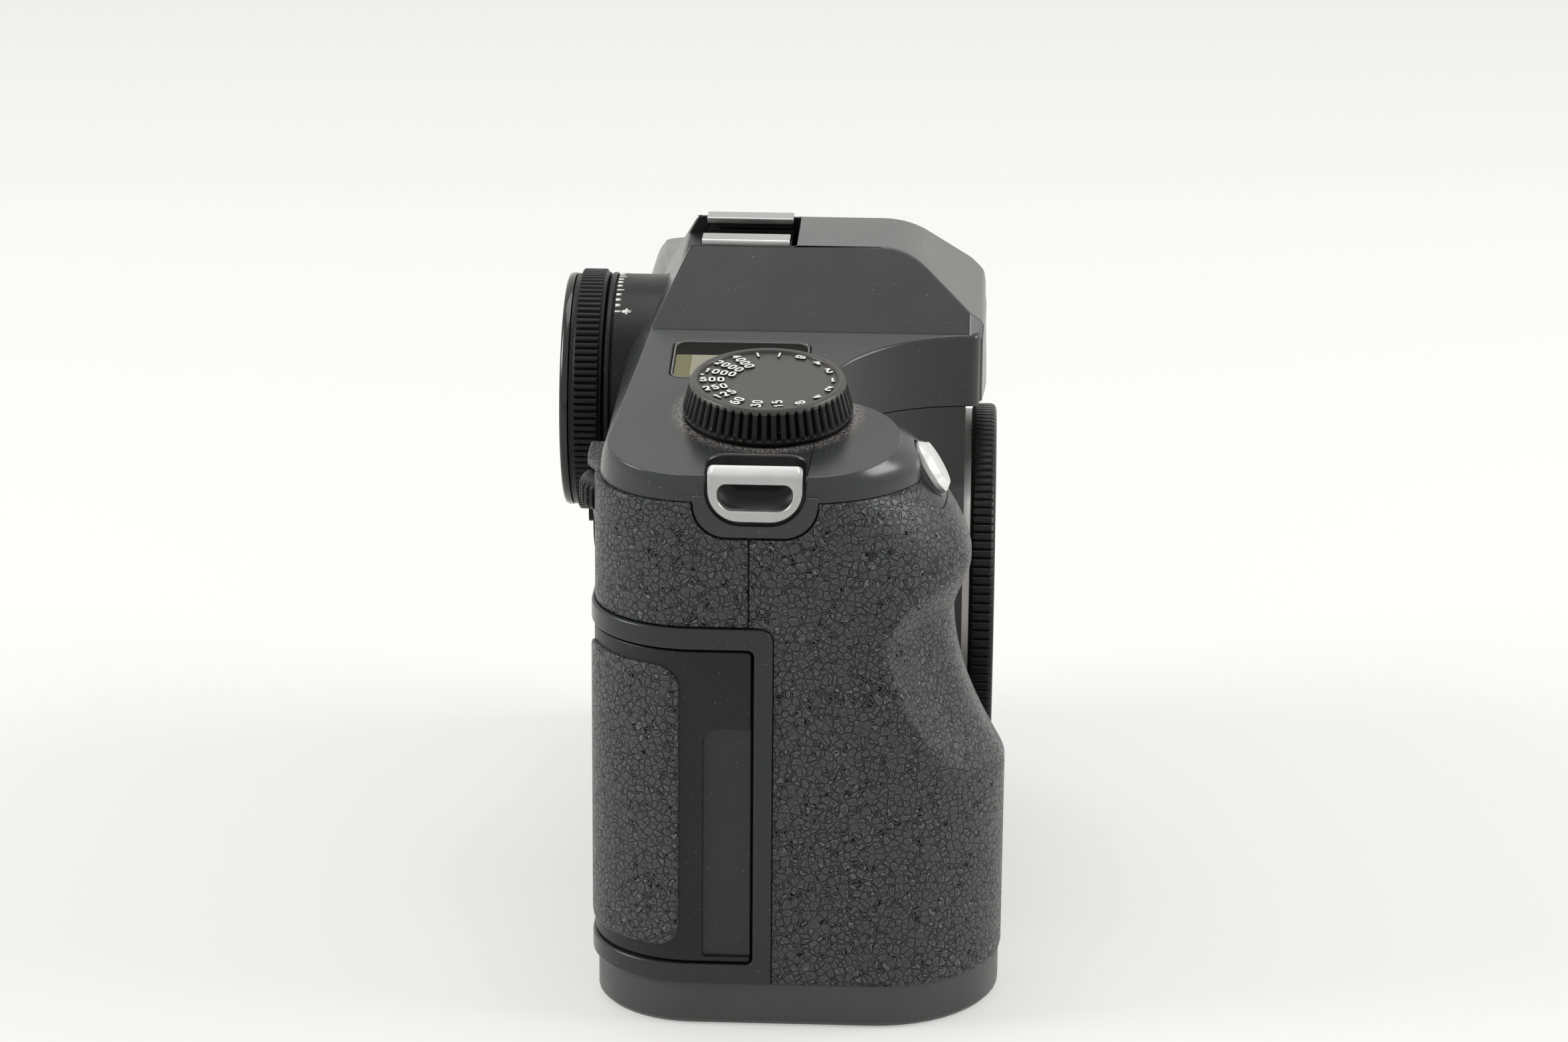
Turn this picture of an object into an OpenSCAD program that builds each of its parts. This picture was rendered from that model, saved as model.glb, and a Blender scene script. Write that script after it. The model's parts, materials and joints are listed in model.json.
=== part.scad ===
// Medium format digital camera body, without a lens and with its body cap on.
// Frame: +Z up, the lens side faces -Y, the grip is on the -X side.
// Origin: mouth of the small tripod socket in the base, straight below the optical axis.

/* [Body] */
// Optical axis to the grip side of the base
grip_reach = 84.6; // [83:0.1:88]
// Optical axis to the left side
left_reach = 75; // [73:0.5:82]
// Tripod axis to the back of the body
back_reach = 33; // [32.5:0.1:35]
// Tripod axis to the plain front beside the lens
body_front = 4; // [3.5:0.1:5]
// Tripod axis to the face that carries the lens mount
mount_face = 29; // [28.5:0.1:30]
// Height of the optical axis above the table
axis_h = 50; // [49.5:0.1:50.5]
// Height of the base plate
base_h = 7.9; // [7.6:0.1:8.6]
// Height of the seam under the top cover
split_h = 93.6; // [93.2:0.1:94.4]
// Tripod axis to the joint between front shell and rear cover
rear_split = 24; // [23.6:0.1:24.4]
// Radius of the rear corner on the grip side, seen from above
rear_corner = 17; // [15:0.5:19]
// Radius of the left corners, seen from above
left_corner = 9; // [7:0.5:10]
// Thickness of the skin pieces over the grip core
skin = 2.2; // [2:0.1:2.5]
// Bevel along the bottom edge of the base
base_edge = 1; // [0.5:0.1:1.5]

/* [Grip] */
// Tripod axis to the front of the grip at its foot
grip_foot = 36.5; // [35.5:0.1:38]
// Tripod axis to the bottom of the finger groove
groove_reach = 27.7; // [27:0.1:28.5]
// Tripod axis to the bulge above the finger groove
bulge_reach = 30.5; // [30:0.1:31.5]
// Tripod axis to the front of the grip under the top cover
grip_top_reach = 22.8; // [22.4:0.1:23.4]
// Height where the foot starts to narrow into the groove
flare_h = 42; // [38:0.5:46]
// Height of the finger groove
groove_h = 69.5; // [67:0.5:70]
// Height of the bulge above the groove
bulge_h = 78.7; // [77:0.1:80]
// Optical axis to the inner side of the grip
grip_inner = 47; // [46:0.1:48]
// Radius of the outer front corner of the grip
grip_corner = 22; // [20:0.5:23]
// Radius of the inner front corner of the grip
grip_inner_corner = 12; // [9:0.5:13]
// How far the leatherette stands proud of the base
cover_proud = 0.4; // [0.2:0.1:0.8]
// Thickness of the grip cover
cover_t = 2; // [1.6:0.1:2.1]
// Tripod axis to the seam between the two leatherette pieces
seam_y = 6.4; // [5.6:0.1:7]

/* [Top cover] */
// Tilt of the shoulders
shoulder_tilt = 8.2; // [7:0.1:9]
// Height of the shoulder plate at the grip side
shoulder_h = 98; // [97.4:0.1:98.6]
// Set-back of the shoulder plate's edge from the grip side
plate_inset = 1.2; // [0.8:0.1:2]
// Tripod axis to the front edge of the shoulder plate
plate_front = 18.2; // [17:0.1:19]
// Tripod axis to the back edge of the shoulder plate
plate_back = 30.4; // [29.4:0.1:31]
// Half width of the prism housing at its eaves
prism_half = 23.6; // [22.8:0.1:24.4]
// Half width of the prism housing's flat top
prism_top_half = 11; // [10.9:0.1:11.6]
// Height of the prism housing's flat top
prism_top = 119.2; // [118.8:0.1:120]
// Half width of the brow above the lens mount
neck_half = 23.9; // [23.7:0.1:25]
// Tripod axis to the brow's front at the middle
brow_reach = 32.8; // [32:0.1:34]
// Radius of the finger bays beside the brow
bay_r = 27.2; // [26:0.1:27.4]
// Slope of the facet that carries the release button
pod_slope = 58.8; // [56:0.2:61]
// Width of the release button's pod
pod_w = 13; // [12.4:0.1:14]

/* [Lens mount and cap] */
// Radius of the barrel that carries the lens mount
barrel_r = 38.5; // [37.5:0.1:39.5]
// Radius of the lens mount's rim
mount_r = 35; // [34:0.1:35.5]
// Thickness of the lens mount's rim
mount_t = 1.2; // [1:0.1:1.5]
// Radius of the lens mount's bore
mount_bore_r = 29; // [28.6:0.1:29.4]
// Height of a bayonet tab above its bore
tab_h = 2.5; // [2:0.1:2.8]
// Radius of the body cap
cap_r = 36; // [35:0.1:37]
// Thickness of the body cap
cap_t = 4.5; // [4:0.1:5.5]

/* [Eyepiece] */
// Height of the eyepiece axis
eye_h = 88.8; // [88:0.1:89.4]
// Radius of the eyepiece barrel
eye_r = 21.2; // [20.5:0.1:21.8]
// Radius over the ribs of the dioptre ring
dioptre_r = 22; // [21.5:0.1:22.6]
// Radius of the sleeve inside the dioptre ring
sleeve_r = 17.4; // [17:0.1:18]
// Tripod axis to the rear face of the eyepiece rim
eye_reach = 43.7; // [43.2:0.1:45]

/* [Dial and display] */
// Shutter dial, across its foot
dial_d = 29; // [27:0.1:30]
// Shutter dial, across its top
dial_top_d = 26.3; // [25:0.1:27]
// Height of the shutter dial
dial_t = 6.5; // [5.5:0.1:7]
// Distance of the dial's axis from the optical axis
dial_x = 58.1; // [57:0.1:60]
// Distance of the dial's axis behind the tripod axis
dial_y = 4.6; // [3:0.1:6]
// Top display window, across the camera
top_display_w = 16; // [14:0.1:17]
// Top display window, front to back
top_display_d = 23.8; // [20:0.1:25]
// Rear display glass, width
rear_display_w = 66; // [60:0.5:68]
// Rear display glass, height
rear_display_h = 48; // [44:0.5:49]

/* [Card door] */
// Height of the card door frame's top edge
frame_h = 71.8; // [71:0.1:72.6]
// Tripod axis to the frame's front edge
frame_y = 2.3; // [1.8:0.1:2.8]
// Width of the frame's rails
rail = 3.2; // [2.6:0.1:3.4]
// How far the frame stands proud of the base
frame_proud = 1; // [0.8:0.1:1.4]
// How far the door stands proud of the base
door_proud = 0.5; // [0.4:0.1:0.7]
// Thickness of the door's shell
door_t = 1.9; // [1.6:0.1:2.1]
// Radius of the door's hinge barrel
hinge_barrel_r = 2.6; // [2.4:0.1:2.8]
// Radius of the hinge pin
hinge_pin_r = 0.8; // [0.7:0.05:1]

/* [Controls] */
// Release button diameter
release_d = 10; // [9:0.1:10.4]
// Thumb wheel diameter
wheel_d = 16; // [15:0.1:17]
// Thumb wheel thickness
wheel_t = 5; // [4.4:0.1:5.4]
// Rear button diameter
button_d = 9; // [8:0.1:10]
// Travel of the small buttons
button_travel = 0.8; // [0.6:0.05:1]

/* [Strap lugs] */
// Width of a strap lug
lug_w = 15.8; // [15:0.1:16.4]
// Height of a strap lug
lug_h = 9.4; // [9:0.1:9.8]
// Thickness of a strap lug
lug_t = 2.2; // [1.8:0.1:2.6]

/* [Clearances] */
// Clearance of running fits, on the radius
run_gap = 0.05; // [0.03:0.01:0.08]
// Gap between pieces that move past each other
move_gap = 0.4; // [0.35:0.05:0.5]
// Gap between pieces that lie edge to edge
edge_gap = 0.15; // [0.1:0.01:0.2]

/* [Hidden] */
$fn = 96;

// Thin slice that stands for an outline inside a hull
sliver = 0.01;
// Overshoot of cutting tools
over = 2;

// Grip core and its step under the release pod
core_x = grip_reach - skin;
core_back = back_reach - skin;
core_inner = grip_inner + cover_t + 0.3;
core_front = groove_reach - cover_t - 2.7;
core_top_front = grip_top_reach - cover_t - 3.8;
core_corner = 16;
pod_room = 9.6;
core_step_h = split_h - pod_room;

// Shoulder planes
slope = tan(shoulder_tilt);
function plate_h(x) = shoulder_h + slope * (grip_reach - plate_inset - abs(x));

// Strap lugs and the aprons round them
lug_y = 5.5;
left_lug_y = 13.5;
lug_floor_h = 90.6;
apron_half = lug_w / 2 + 2.6;
apron_floor_h = lug_floor_h - 3.1;
apron_corner = 5.8;
apron_depth = 11.2;
lug_pocket_depth = 9.2;
lug_pocket_half = lug_w / 2 + 0.6;
lug_proud = 1;

// Release pod: centre of the button's seat on the sloped facet
pod_x = -63;
pod_y = -grip_top_reach - 0.2;
pod_h = split_h + 0.4;
pod_t = 3.6;
pod_below = 8;
pod_above = 6;
release_seat = 1.6;
release_head = 1.9;
release_stem_r = 2;

// Card door: frame window, hinge axis and bay behind the door
hinge_x = -63.5;
hinge_y = back_reach + door_proud - hinge_barrel_r;
window_y = frame_y + rail;
window_x = hinge_x + hinge_barrel_r + move_gap;
window_floor_h = base_h + rail + 0.4;
window_top_h = frame_h - rail - 0.5;
frame_end_x = window_x + rail;
door_gap = 0.3;
hinge_ear = 5;

// Rear cover edge beside the thumb wheel
wheel_zone_x = -49.7;
wheel_x = -62;
wheel_y = back_reach + 3.5 - wheel_d / 2;
wheel_h = 88.9;
wheel_shaft_r = 1.25;
wheel_shaft_end = 4;
wheel_shaft_seat = 1;

// Battery and its bay
battery_x0 = -76;
battery_x1 = -core_inner - 3.3;
battery_y0 = -17;
battery_y1 = frame_y + 0.3;
battery_floor_h = 0.4;
battery_top_h = 60;

// Mirror chamber inside the front shell
chamber_half = 30;
chamber_front = mount_face - 5;
chamber_floor_h = 20;
throat_r = mount_bore_r + 2;
box_wall = 2;
shutter_y = 13.5;
shutter_t = 4.5;
sensor_t = 4;
screen_h = 71;
screen_t = 2;
screen_half = 25;
screen_front = 20;
mirror_y = 9.2;
mirror_h = 66;
mirror_len = 32;
mirror_half = 22;
mirror_pin_r = 1;

// Tilted frame of the shoulder plate on the grip side
module on_plate(x, y) {
    translate([-x, y, plate_h(x)])
        rotate([0, -shoulder_tilt, 0])
            children();
}

// Frame of the release pod: local Z leaves the facet
module on_pod() {
    translate([pod_x, pod_y, pod_h])
        rotate([pod_slope, 0, 0])
            children();
}

// Frames for things that stand on the front or on the back
module facing_front(x, y, z) {
    translate([x, y, z])
        rotate([90, 0, 0])
            children();
}

module facing_back(x, y, z) {
    translate([x, y, z])
        rotate([-90, 0, 0])
            children();
}

function unit(v) = v / norm(v);
function ease(t) = t <= 0 ? 0 : t >= 1 ? 1 : t * t * (3 - 2 * t);
function xy(p) = [p[0], p[1]];

// One corner b of an outline, rounded with radius r between its neighbours a and c
function fillet(a, b, c, r, n) = r <= 0 ? [b] :
    let (
        u = unit(a - b),
        v = unit(c - b),
        half = acos(u * v) / 2,
        middle = b + unit(u + v) * r / sin(half),
        start = b + u * r / tan(half) - middle,
        end = b + v * r / tan(half) - middle,
        from = atan2(start[1], start[0]),
        sweep = (atan2(end[1], end[0]) - from + 540) % 360 - 180
    )
    [for (i = [0:n]) middle + r * [cos(from + sweep * i / n), sin(from + sweep * i / n)]];

// Outline from corners given as [x, y, radius]
function rounded(pts, n = 8) = [
    for (i = [0:len(pts) - 1])
        each fillet(xy(pts[(i + len(pts) - 1) % len(pts)]), xy(pts[i]), xy(pts[(i + 1) % len(pts)]),
            pts[i][2], n)
];

function box_plan(x0, y0, x1, y1, r, n = 8) = rounded([[x0, y0, r], [x1, y0, r], [x1, y1, r], [x0, y1,
    r]], n);

// Ribbed round outline: count ribs, each depth high
function ribbed(r, depth, count) = [
    for (i = [0:count - 1], p = [[0, 0], [0.5, 0], [0.62, 1], [0.88, 1]])
        let (a = 360 * (i + p[0]) / count)
        (r - p[1] * depth) * [cos(a), sin(a)]
];

module slab(pts, z0, z1) {
    translate([0, 0, z0])
        linear_extrude(z1 - z0)
            polygon(pts);
}

// Outline in Y and Z, drawn out along X
module along_x(pts, x0, x1) {
    translate([x0, 0, 0])
        rotate([90, 0, 90])
            linear_extrude(x1 - x0)
                polygon(pts);
}

// Outline in X and Z, drawn out along Y
module along_y(pts, y0, y1) {
    translate([0, y1, 0])
        rotate([90, 0, 0])
            linear_extrude(y1 - y0)
                polygon(pts);
}

module block(x0, y0, z0, x1, y1, z1) {
    translate([x0, y0, z0])
        cube([x1 - x0, y1 - y0, z1 - z0]);
}

// Plan of the grip end's skin between two offsets, from y0 on the side round to x1 on the back
function skin_path(g, y0, x1) = concat(
    [[-grip_reach - g, y0]],
    [for (a = [180:-7.5:90])
        [-grip_reach + rear_corner, back_reach - rear_corner] + (rear_corner + g) * [cos(a), sin(a)]],
    [[x1, back_reach + g]]
);
function reversed(pts) = [for (i = [len(pts) - 1:-1:0]) pts[i]];
function skin_plan(g_in, g_out, y0, x1) = concat(skin_path(g_out, y0, x1), reversed(skin_path(g_in, y0, x1)));

// Front of the grip at height z: the envelope, and the envelope with the finger groove cut in
function envelope(z) =
    z < flare_h ? grip_foot + cover_proud :
    z < bulge_h ? bulge_reach + (grip_foot + cover_proud - bulge_reach)
        * (1 - pow((z - flare_h) / (bulge_h - flare_h), 2.2)) :
    bulge_reach - (bulge_reach - grip_top_reach) * pow((z - bulge_h) / (split_h - bulge_h), 1.6);
function grip_front(z) =
    z < flare_h ? envelope(z) :
    z < groove_h ? groove_reach + (grip_foot + cover_proud - groove_reach)
        * (1 - ease(pow((z - flare_h) / (groove_h - flare_h), 0.62))) :
    z < bulge_h ? groove_reach + (bulge_reach - groove_reach) * ease((z - groove_h) / (bulge_h - groove_h)) :
    envelope(z);

// Plan of the grip cover at height z, set in by t: side, outer corner, front, inner corner, inner side
function grip_ring(z, t) =
    let (
        side = grip_reach + cover_proud,
        reach = envelope(z),
        groove = reach - grip_front(z),
        start_y = z <= frame_h + edge_gap ? frame_y - edge_gap : seam_y - edge_gap / 2
    )
    concat(
        [[-side + t, start_y]],
        [for (a = [0:7.5:90])
            [grip_corner - side, grip_corner - reach]
            - (grip_corner - t - groove * ease((a - 10) / 50)) * [cos(a), sin(a)]],
        [for (a = [90:-15:0])
            [-grip_inner - grip_inner_corner, grip_inner_corner - reach]
            + (grip_inner_corner - t - groove * ease(a / 60)) * [cos(a), -sin(a)]],
        [[-grip_inner - t, -body_front - edge_gap]]
    );

// Heights of the rings that the grip cover is lofted through
cover_foot_h = base_h;
grip_levels = concat(
    [cover_foot_h, (cover_foot_h + flare_h) / 2],
    [for (i = [0:14]) flare_h + (frame_h + edge_gap - flare_h) * i / 14],
    [for (i = [0:11]) frame_h + 2 * edge_gap + (split_h - frame_h - 2 * edge_gap) * i / 11]
);

// Closed skin between an outer and an inner stack of rings
module ring_skin(levels, t) {
    n = len(grip_ring(levels[0], 0));
    m = len(levels);
    points = [for (inset = [0, t], z = levels, p = grip_ring(z, inset)) [p[0], p[1], z]];
    function at(inner, level, i) = (inner * m + level) * n + i;
    sheets = [
        for (s = [0, 1], j = [0:m - 2], i = [0:n - 2])
            let (a = at(s, j, i), b = at(s, j, i + 1), c = at(s, j + 1, i + 1), d = at(s, j + 1, i))
            each s == 0 ? [[a, d, c], [a, c, b]] : [[a, c, d], [a, b, c]]
    ];
    ends = [
        for (j = [0:m - 2], i = [0, n - 1])
            let (a = at(0, j, i), b = at(0, j + 1, i), c = at(1, j + 1, i), d = at(1, j, i))
            each i == 0 ? [[a, d, c], [a, c, b]] : [[a, c, d], [a, b, c]]
    ];
    rims = [
        for (j = [0, m - 1], i = [0:n - 2])
            let (a = at(0, j, i), b = at(0, j, i + 1), c = at(1, j, i + 1), d = at(1, j, i))
            each j == 0 ? [[a, b, c], [a, c, d]] : [[a, c, b], [a, d, c]]
    ];
    polyhedron(points, concat(sheets, ends, rims));
}

// U-shaped apron of the top cover round a strap lug; side is -1 for the grip and 1 for the left
module lug_apron(side, reach, y, grow, deep) {
    top_h = grow > 0 ? split_h + over : split_h + 0.5;
    outline = rounded([
        [y - apron_half - grow, top_h, 0],
        [y + apron_half + grow, top_h, 0],
        [y + apron_half + grow, apron_floor_h - grow, apron_corner + grow],
        [y - apron_half - grow, apron_floor_h - grow, apron_corner + grow]
    ]);
    x = side * reach;
    along_x(outline, min(x, x - side * deep), max(x, x - side * deep));
}

// Strap pocket in the apron, open to the side and to the top
module lug_pocket(side, reach, y) {
    x_in = side * (reach - lug_pocket_depth);
    x_out = side * (reach + 3 * over);
    intersection() {
        slab(box_plan(min(x_in, x_out), y - lug_pocket_half, max(x_in, x_out), y + lug_pocket_half, 4),
            60, 130);
        along_x(rounded([
            [y - lug_pocket_half, lug_floor_h - 0.8, 6],
            [y + lug_pocket_half, lug_floor_h - 0.8, 6],
            [y + lug_pocket_half, prism_top, 0],
            [y - lug_pocket_half, prism_top, 0]
        ]), min(x_in, x_out), max(x_in, x_out));
    }
}

// Tongue of the top cover that carries the release button, in the pod's own frame
module pod_tongue(grow, deep) {
    on_pod()
        translate([0, 0, -deep])
            linear_extrude(deep)
                polygon(rounded([
                    [-pod_w / 2 - grow, pod_above, 0],
                    [pod_w / 2 + grow, pod_above, 0],
                    [pod_w / 2 + grow, -pod_below - grow, 6],
                    [-pod_w / 2 - grow, -pod_below - grow, 6]
                ]));
}

// Concave wall of a finger bay, from the plain front to depth y; side as above
function bay_arc(side, y) =
    let (a_end = asin(max(0, bay_r + body_front - y) / bay_r))
    [for (i = [0:12])
        let (a = 90 + (a_end - 90) * i / 12)
        [side * (neck_half + bay_r - bay_r * cos(a)), -body_front - bay_r + bay_r * sin(a)]];

// Places of the base screws and of the lens mount's screws
base_screw_places = [[-34, 20], [-24, -20], [24, -20], [40, 20], [68, 20], [68, 3]];
mount_screw_angles = [30, 90, 150, 210, 270, 330];
mount_screw_pcr = (mount_r + mount_bore_r) / 2;
screw_r = 1;
screw_head_r = 1.9;
screw_head_t = 1.2;

large_socket_x = 20;
socket_r = 6;
large_socket_r = 8;
socket_depth = 6.5;
small_thread_r = 2.6;
large_thread_r = 4;
lock_x = -40;
lock_y = 12;
lock_r = 6;

// Plans of the base: grip, main body and lens mount
grip_plan = [
    [-grip_reach, back_reach, rear_corner], [-grip_reach, -grip_foot, grip_corner],
    [-grip_inner, -grip_foot, grip_inner_corner], [-grip_inner, back_reach, 1.5]
];
main_plan = [
    [-grip_reach, back_reach, rear_corner], [-grip_reach, -body_front, 1.5],
    [left_reach, -body_front, left_corner], [left_reach, back_reach, left_corner]
];
mount_plan = [
    [-chamber_half, back_reach, 1.5], [-chamber_half, 1 - mount_face, 8],
    [chamber_half, 1 - mount_face, 8], [chamber_half, back_reach, 1.5]
];

// Corner list set in by a bevel
function set_in(corners, e) =
    let (cx = (corners[0][0] + corners[2][0]) / 2, cy = (corners[0][1] + corners[2][1]) / 2)
    [for (c = corners) [c[0] - e * sign(c[0] - cx), c[1] - e * sign(c[1] - cy), c[2] - e]];

module bevelled_foot(corners) {
    hull() {
        slab(rounded(set_in(corners, base_edge), 12), 0, sliver);
        slab(rounded(corners, 12), base_edge, base_h);
    }
}

module base_plate() {
    color("#1d1d1e")
    difference() {
        union() {
            bevelled_foot(grip_plan);
            bevelled_foot(main_plan);
            bevelled_foot(mount_plan);
        }
        translate([0, 0, -over])
            cylinder(r = socket_r + run_gap, h = base_h + 2 * over);
        translate([large_socket_x, 0, -over])
            cylinder(r = large_socket_r + run_gap, h = base_h + 2 * over);
        slab(box_plan(battery_x0 - door_gap, battery_y0 - door_gap, battery_x1 + door_gap,
            battery_y1 + door_gap, 2), -over, base_h + over);
        translate([lock_x, lock_y, -over])
            cylinder(r = lock_r + move_gap, h = over + 2.4);
        translate([lock_x, lock_y, 0])
            cylinder(r = 2 + run_gap, h = base_h - 1);
        for (p = base_screw_places)
            translate([p[0], p[1], -over]) {
                cylinder(r = screw_r + run_gap, h = base_h + 2 * over);
                cylinder(r = screw_head_r + run_gap, h = over + screw_head_t);
            }
    }
}

// Plan of the front shell behind the plain front
function shell_plan(front) = rounded([
    [-core_x, core_back, rear_corner - skin], [-core_x, -front, core_corner],
    [-core_inner, -front, 4], [-core_inner, -body_front, 0],
    [left_reach, -body_front, left_corner], [left_reach, rear_split, 0],
    [frame_end_x, rear_split, 0], [frame_end_x, core_back, 0]
]);

// Bay of the memory cards, open to the side and back of the grip
module card_bay() {
    block(-grip_reach - over, window_y, window_floor_h, window_x, back_reach + over, window_top_h);
}

port_y0 = left_corner - body_front + 1.5;
port_y1 = rear_split - 2;
port_h = 28;
port_floor = [50, 18];
port_t = 2;

module port_recess(z) {
    block(left_reach - port_t - door_gap, port_y0 - door_gap, z - door_gap,
        left_reach + over, port_y1 + door_gap, z + port_h + door_gap);
}

left_room_x0 = chamber_half + 6;
left_room_x1 = left_reach - 10;

lens_release_x = 46;
lens_release_h = axis_h - 6;
lens_release_r = 5.5;
stop_down_x = -43.5;
stop_down_h = axis_h + 14;
stop_down_r = 3;
plunger_r = 2;

// Outer walls of the body and of the box inside the grip
module shell_walls() {
    slab(shell_plan(core_front), base_h, core_step_h);
    slab(shell_plan(core_top_front), core_step_h, split_h);
}

// Bay of the battery, open to the base
module battery_bay() {
    slab(box_plan(battery_x0 - door_gap, battery_y0 - door_gap, battery_x1 + door_gap,
        battery_y1 + door_gap, 2), base_h - over, battery_top_h + door_gap);
}

// Die-cast body with the box inside the grip, before they are parted
module shell_body() {
    difference() {
        union() {
            shell_walls();
            slab(box_plan(frame_end_x - 4, rear_split - 4, wheel_zone_x - edge_gap, core_back, 0, 1),
                frame_h + edge_gap, split_h);
            intersection() {
                slab(concat(bay_arc(-1, mount_face), reversed(bay_arc(1, mount_face)), [[0, 0]]), axis_h,
                    split_h);
                block(-grip_inner + edge_gap, -2 * back_reach, 0, 2 * left_reach, 2 * back_reach, prism_top);
            }
            facing_front(0, -body_front + 1, axis_h)
                cylinder(r = barrel_r, h = mount_face - body_front + 1);
            slab(box_plan(-chamber_half, 1 - mount_face, chamber_half, 0, 6), base_h, axis_h - 20);
        }
        // mirror chamber and lens throat
        block(-chamber_half, -chamber_front, chamber_floor_h, chamber_half, rear_split + over, screen_h);
        block(-screen_half - edge_gap, -screen_front - edge_gap, screen_h - over, screen_half + edge_gap,
            shutter_y, screen_h + screen_t + edge_gap);
        prism_plan_cut(screen_h, split_h + over);
        facing_back(0, prism_room_back, eye_h)
            cylinder(r = eye_r + run_gap, h = back_reach);
        facing_front(0, -chamber_front + over, axis_h)
            cylinder(r = throat_r, h = mount_face - chamber_front + 2 * over);
        // battery bay, card bay and the room for the sockets
        battery_bay();
        card_bay();
        block(left_room_x0, body_front, base_h + 6, left_room_x1, rear_split + over, split_h - 10);
        for (z = port_floor) {
            port_recess(z);
            block(left_room_x1 - over, port_y0 + 2, z + 2, left_reach, port_y1 - 2, z + port_h - 2);
        }
        // strap lug aprons
        lug_apron(-1, grip_reach + over, lug_y, edge_gap, apron_depth + over + edge_gap);
        lug_apron(1, left_reach + over, left_lug_y, edge_gap, apron_depth + over + edge_gap);
        // thumb wheel and its shaft
        translate([wheel_x, wheel_y, wheel_h - wheel_t / 2 - door_gap])
            cylinder(r = wheel_d / 2 + move_gap, h = wheel_t + 2 * door_gap);
        translate([wheel_x, wheel_y, wheel_h - wheel_t / 2 - wheel_shaft_end])
            cylinder(r = wheel_shaft_r + run_gap,
                h = split_h - wheel_h + wheel_t / 2 + wheel_shaft_end + over);
        // plungers on the front
        facing_front(lens_release_x, body_front + over, lens_release_h) {
            cylinder(r = plunger_r + run_gap, h = 3 * body_front);
            translate([0, 0, 2 * body_front + over - 3])
                cylinder(r = lens_release_r + move_gap, h = 3 + over);
        }
        facing_front(stop_down_x, body_front + 3 * over, stop_down_h) {
            cylinder(r = plunger_r - 0.6 + run_gap, h = 3 * body_front + 2 * over);
            translate([0, 0, 2 * body_front + 3 * over - 2.4])
                cylinder(r = stop_down_r + move_gap, h = 3 + over);
        }
        // screws of the base and of the lens mount
        for (p = base_screw_places)
            translate([p[0], p[1], base_h - over])
                cylinder(r = screw_r + run_gap, h = over + 3);
        for (a = mount_screw_angles)
            facing_front(mount_screw_pcr * cos(a), 4 - mount_face, axis_h + mount_screw_pcr * sin(a))
                cylinder(r = screw_r + run_gap, h = 4 + over);
    }
}

// Zone inside the grip, back to where its rounded corners end
grip_zone_y = core_corner - core_top_front + 0.5;

module grip_zone() {
    block(-2 * grip_reach, -2 * back_reach, 0, -grip_inner - edge_gap, grip_zone_y, prism_top);
}

// Zone of the lens barrel, in front of the body
module barrel_zone() {
    block(-barrel_r - edge_gap, -2 * back_reach, 0, barrel_r + edge_gap, -body_front, prism_top);
}

module front_shell() {
    color("#2a2a2b")
    difference() {
        shell_body();
        grip_zone();
        barrel_zone();
    }
}

// Barrel in front of the mirror box that carries the lens mount
module mount_barrel() {
    color("#29292a")
    intersection() {
        shell_body();
        barrel_zone();
    }
}

// Moulded box inside the grip that holds the battery
module battery_box() {
    color("#2d2d2e")
    difference() {
        intersection() {
            shell_walls();
            grip_zone();
        }
        battery_bay();
        lug_apron(-1, grip_reach + over, lug_y, edge_gap, apron_depth + over + edge_gap);
    }
}

rear_button_x = rear_display_w / 2 + 8.5;
rear_button_h = [49, 27];
rear_display_floor_h = 14;
glass_t = 1.4;
rear_wall = 2.6;
switch_x = -39;
switch_h = 78;
switch_r = 7;
switch_shaft_r = 2.5;
switch_t = 2.2;

module rear_cover() {
    color("#262627")
    difference() {
        slab(rounded([
            [frame_end_x + edge_gap, rear_split, 0], [left_reach, rear_split, 0],
            [left_reach, back_reach, left_corner], [frame_end_x + edge_gap, back_reach, 0]
        ]), base_h, split_h);
        // rear leatherette and thumb wheel zone
        block(frame_end_x - over, rear_split - over, frame_h, wheel_zone_x, back_reach + over,
            split_h + over);
        // room for the main board, and the display's window
        block(frame_end_x + 5, rear_split - over, base_h + 4, left_reach - 5, back_reach - rear_wall,
            eye_h - eye_r - 3);
        facing_back(0, back_reach - glass_t, 0)
            mirror([0, 1, 0])
                linear_extrude(glass_t + over)
                    polygon(display_plan(edge_gap));
        facing_back(0, rear_split, 0)
            mirror([0, 1, 0])
                linear_extrude(back_reach - rear_split)
                    polygon(display_plan(-1.4));
        facing_back(0, rear_split - over, eye_h)
            cylinder(r = eye_r + run_gap, h = back_reach - rear_split + 2 * over);
        for (s = [-1, 1], z = rear_button_h)
            facing_back(s * rear_button_x, rear_split, z)
                cylinder(r = button_d / 2 + door_gap / 2, h = back_reach - rear_split + over);
        facing_back(switch_x, back_reach - 6, switch_h)
            cylinder(r = switch_shaft_r + run_gap, h = 6 + over);
    }
}

function display_plan(grow) = box_plan(-rear_display_w / 2 - grow, rear_display_floor_h - grow,
    rear_display_w / 2 + grow, rear_display_floor_h + rear_display_h + grow, 3 + grow);

module rear_display_glass() {
    color("#0c0d10")
    facing_back(0, back_reach - glass_t, 0)
        mirror([0, 1, 0])
            linear_extrude(glass_t)
                polygon(display_plan(0));
}

module rear_display_panel() {
    color("#15171b")
    facing_back(0, back_reach - glass_t - 3, 0)
        mirror([0, 1, 0])
            linear_extrude(3)
                polygon(display_plan(-1.4 - edge_gap));
}

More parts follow.
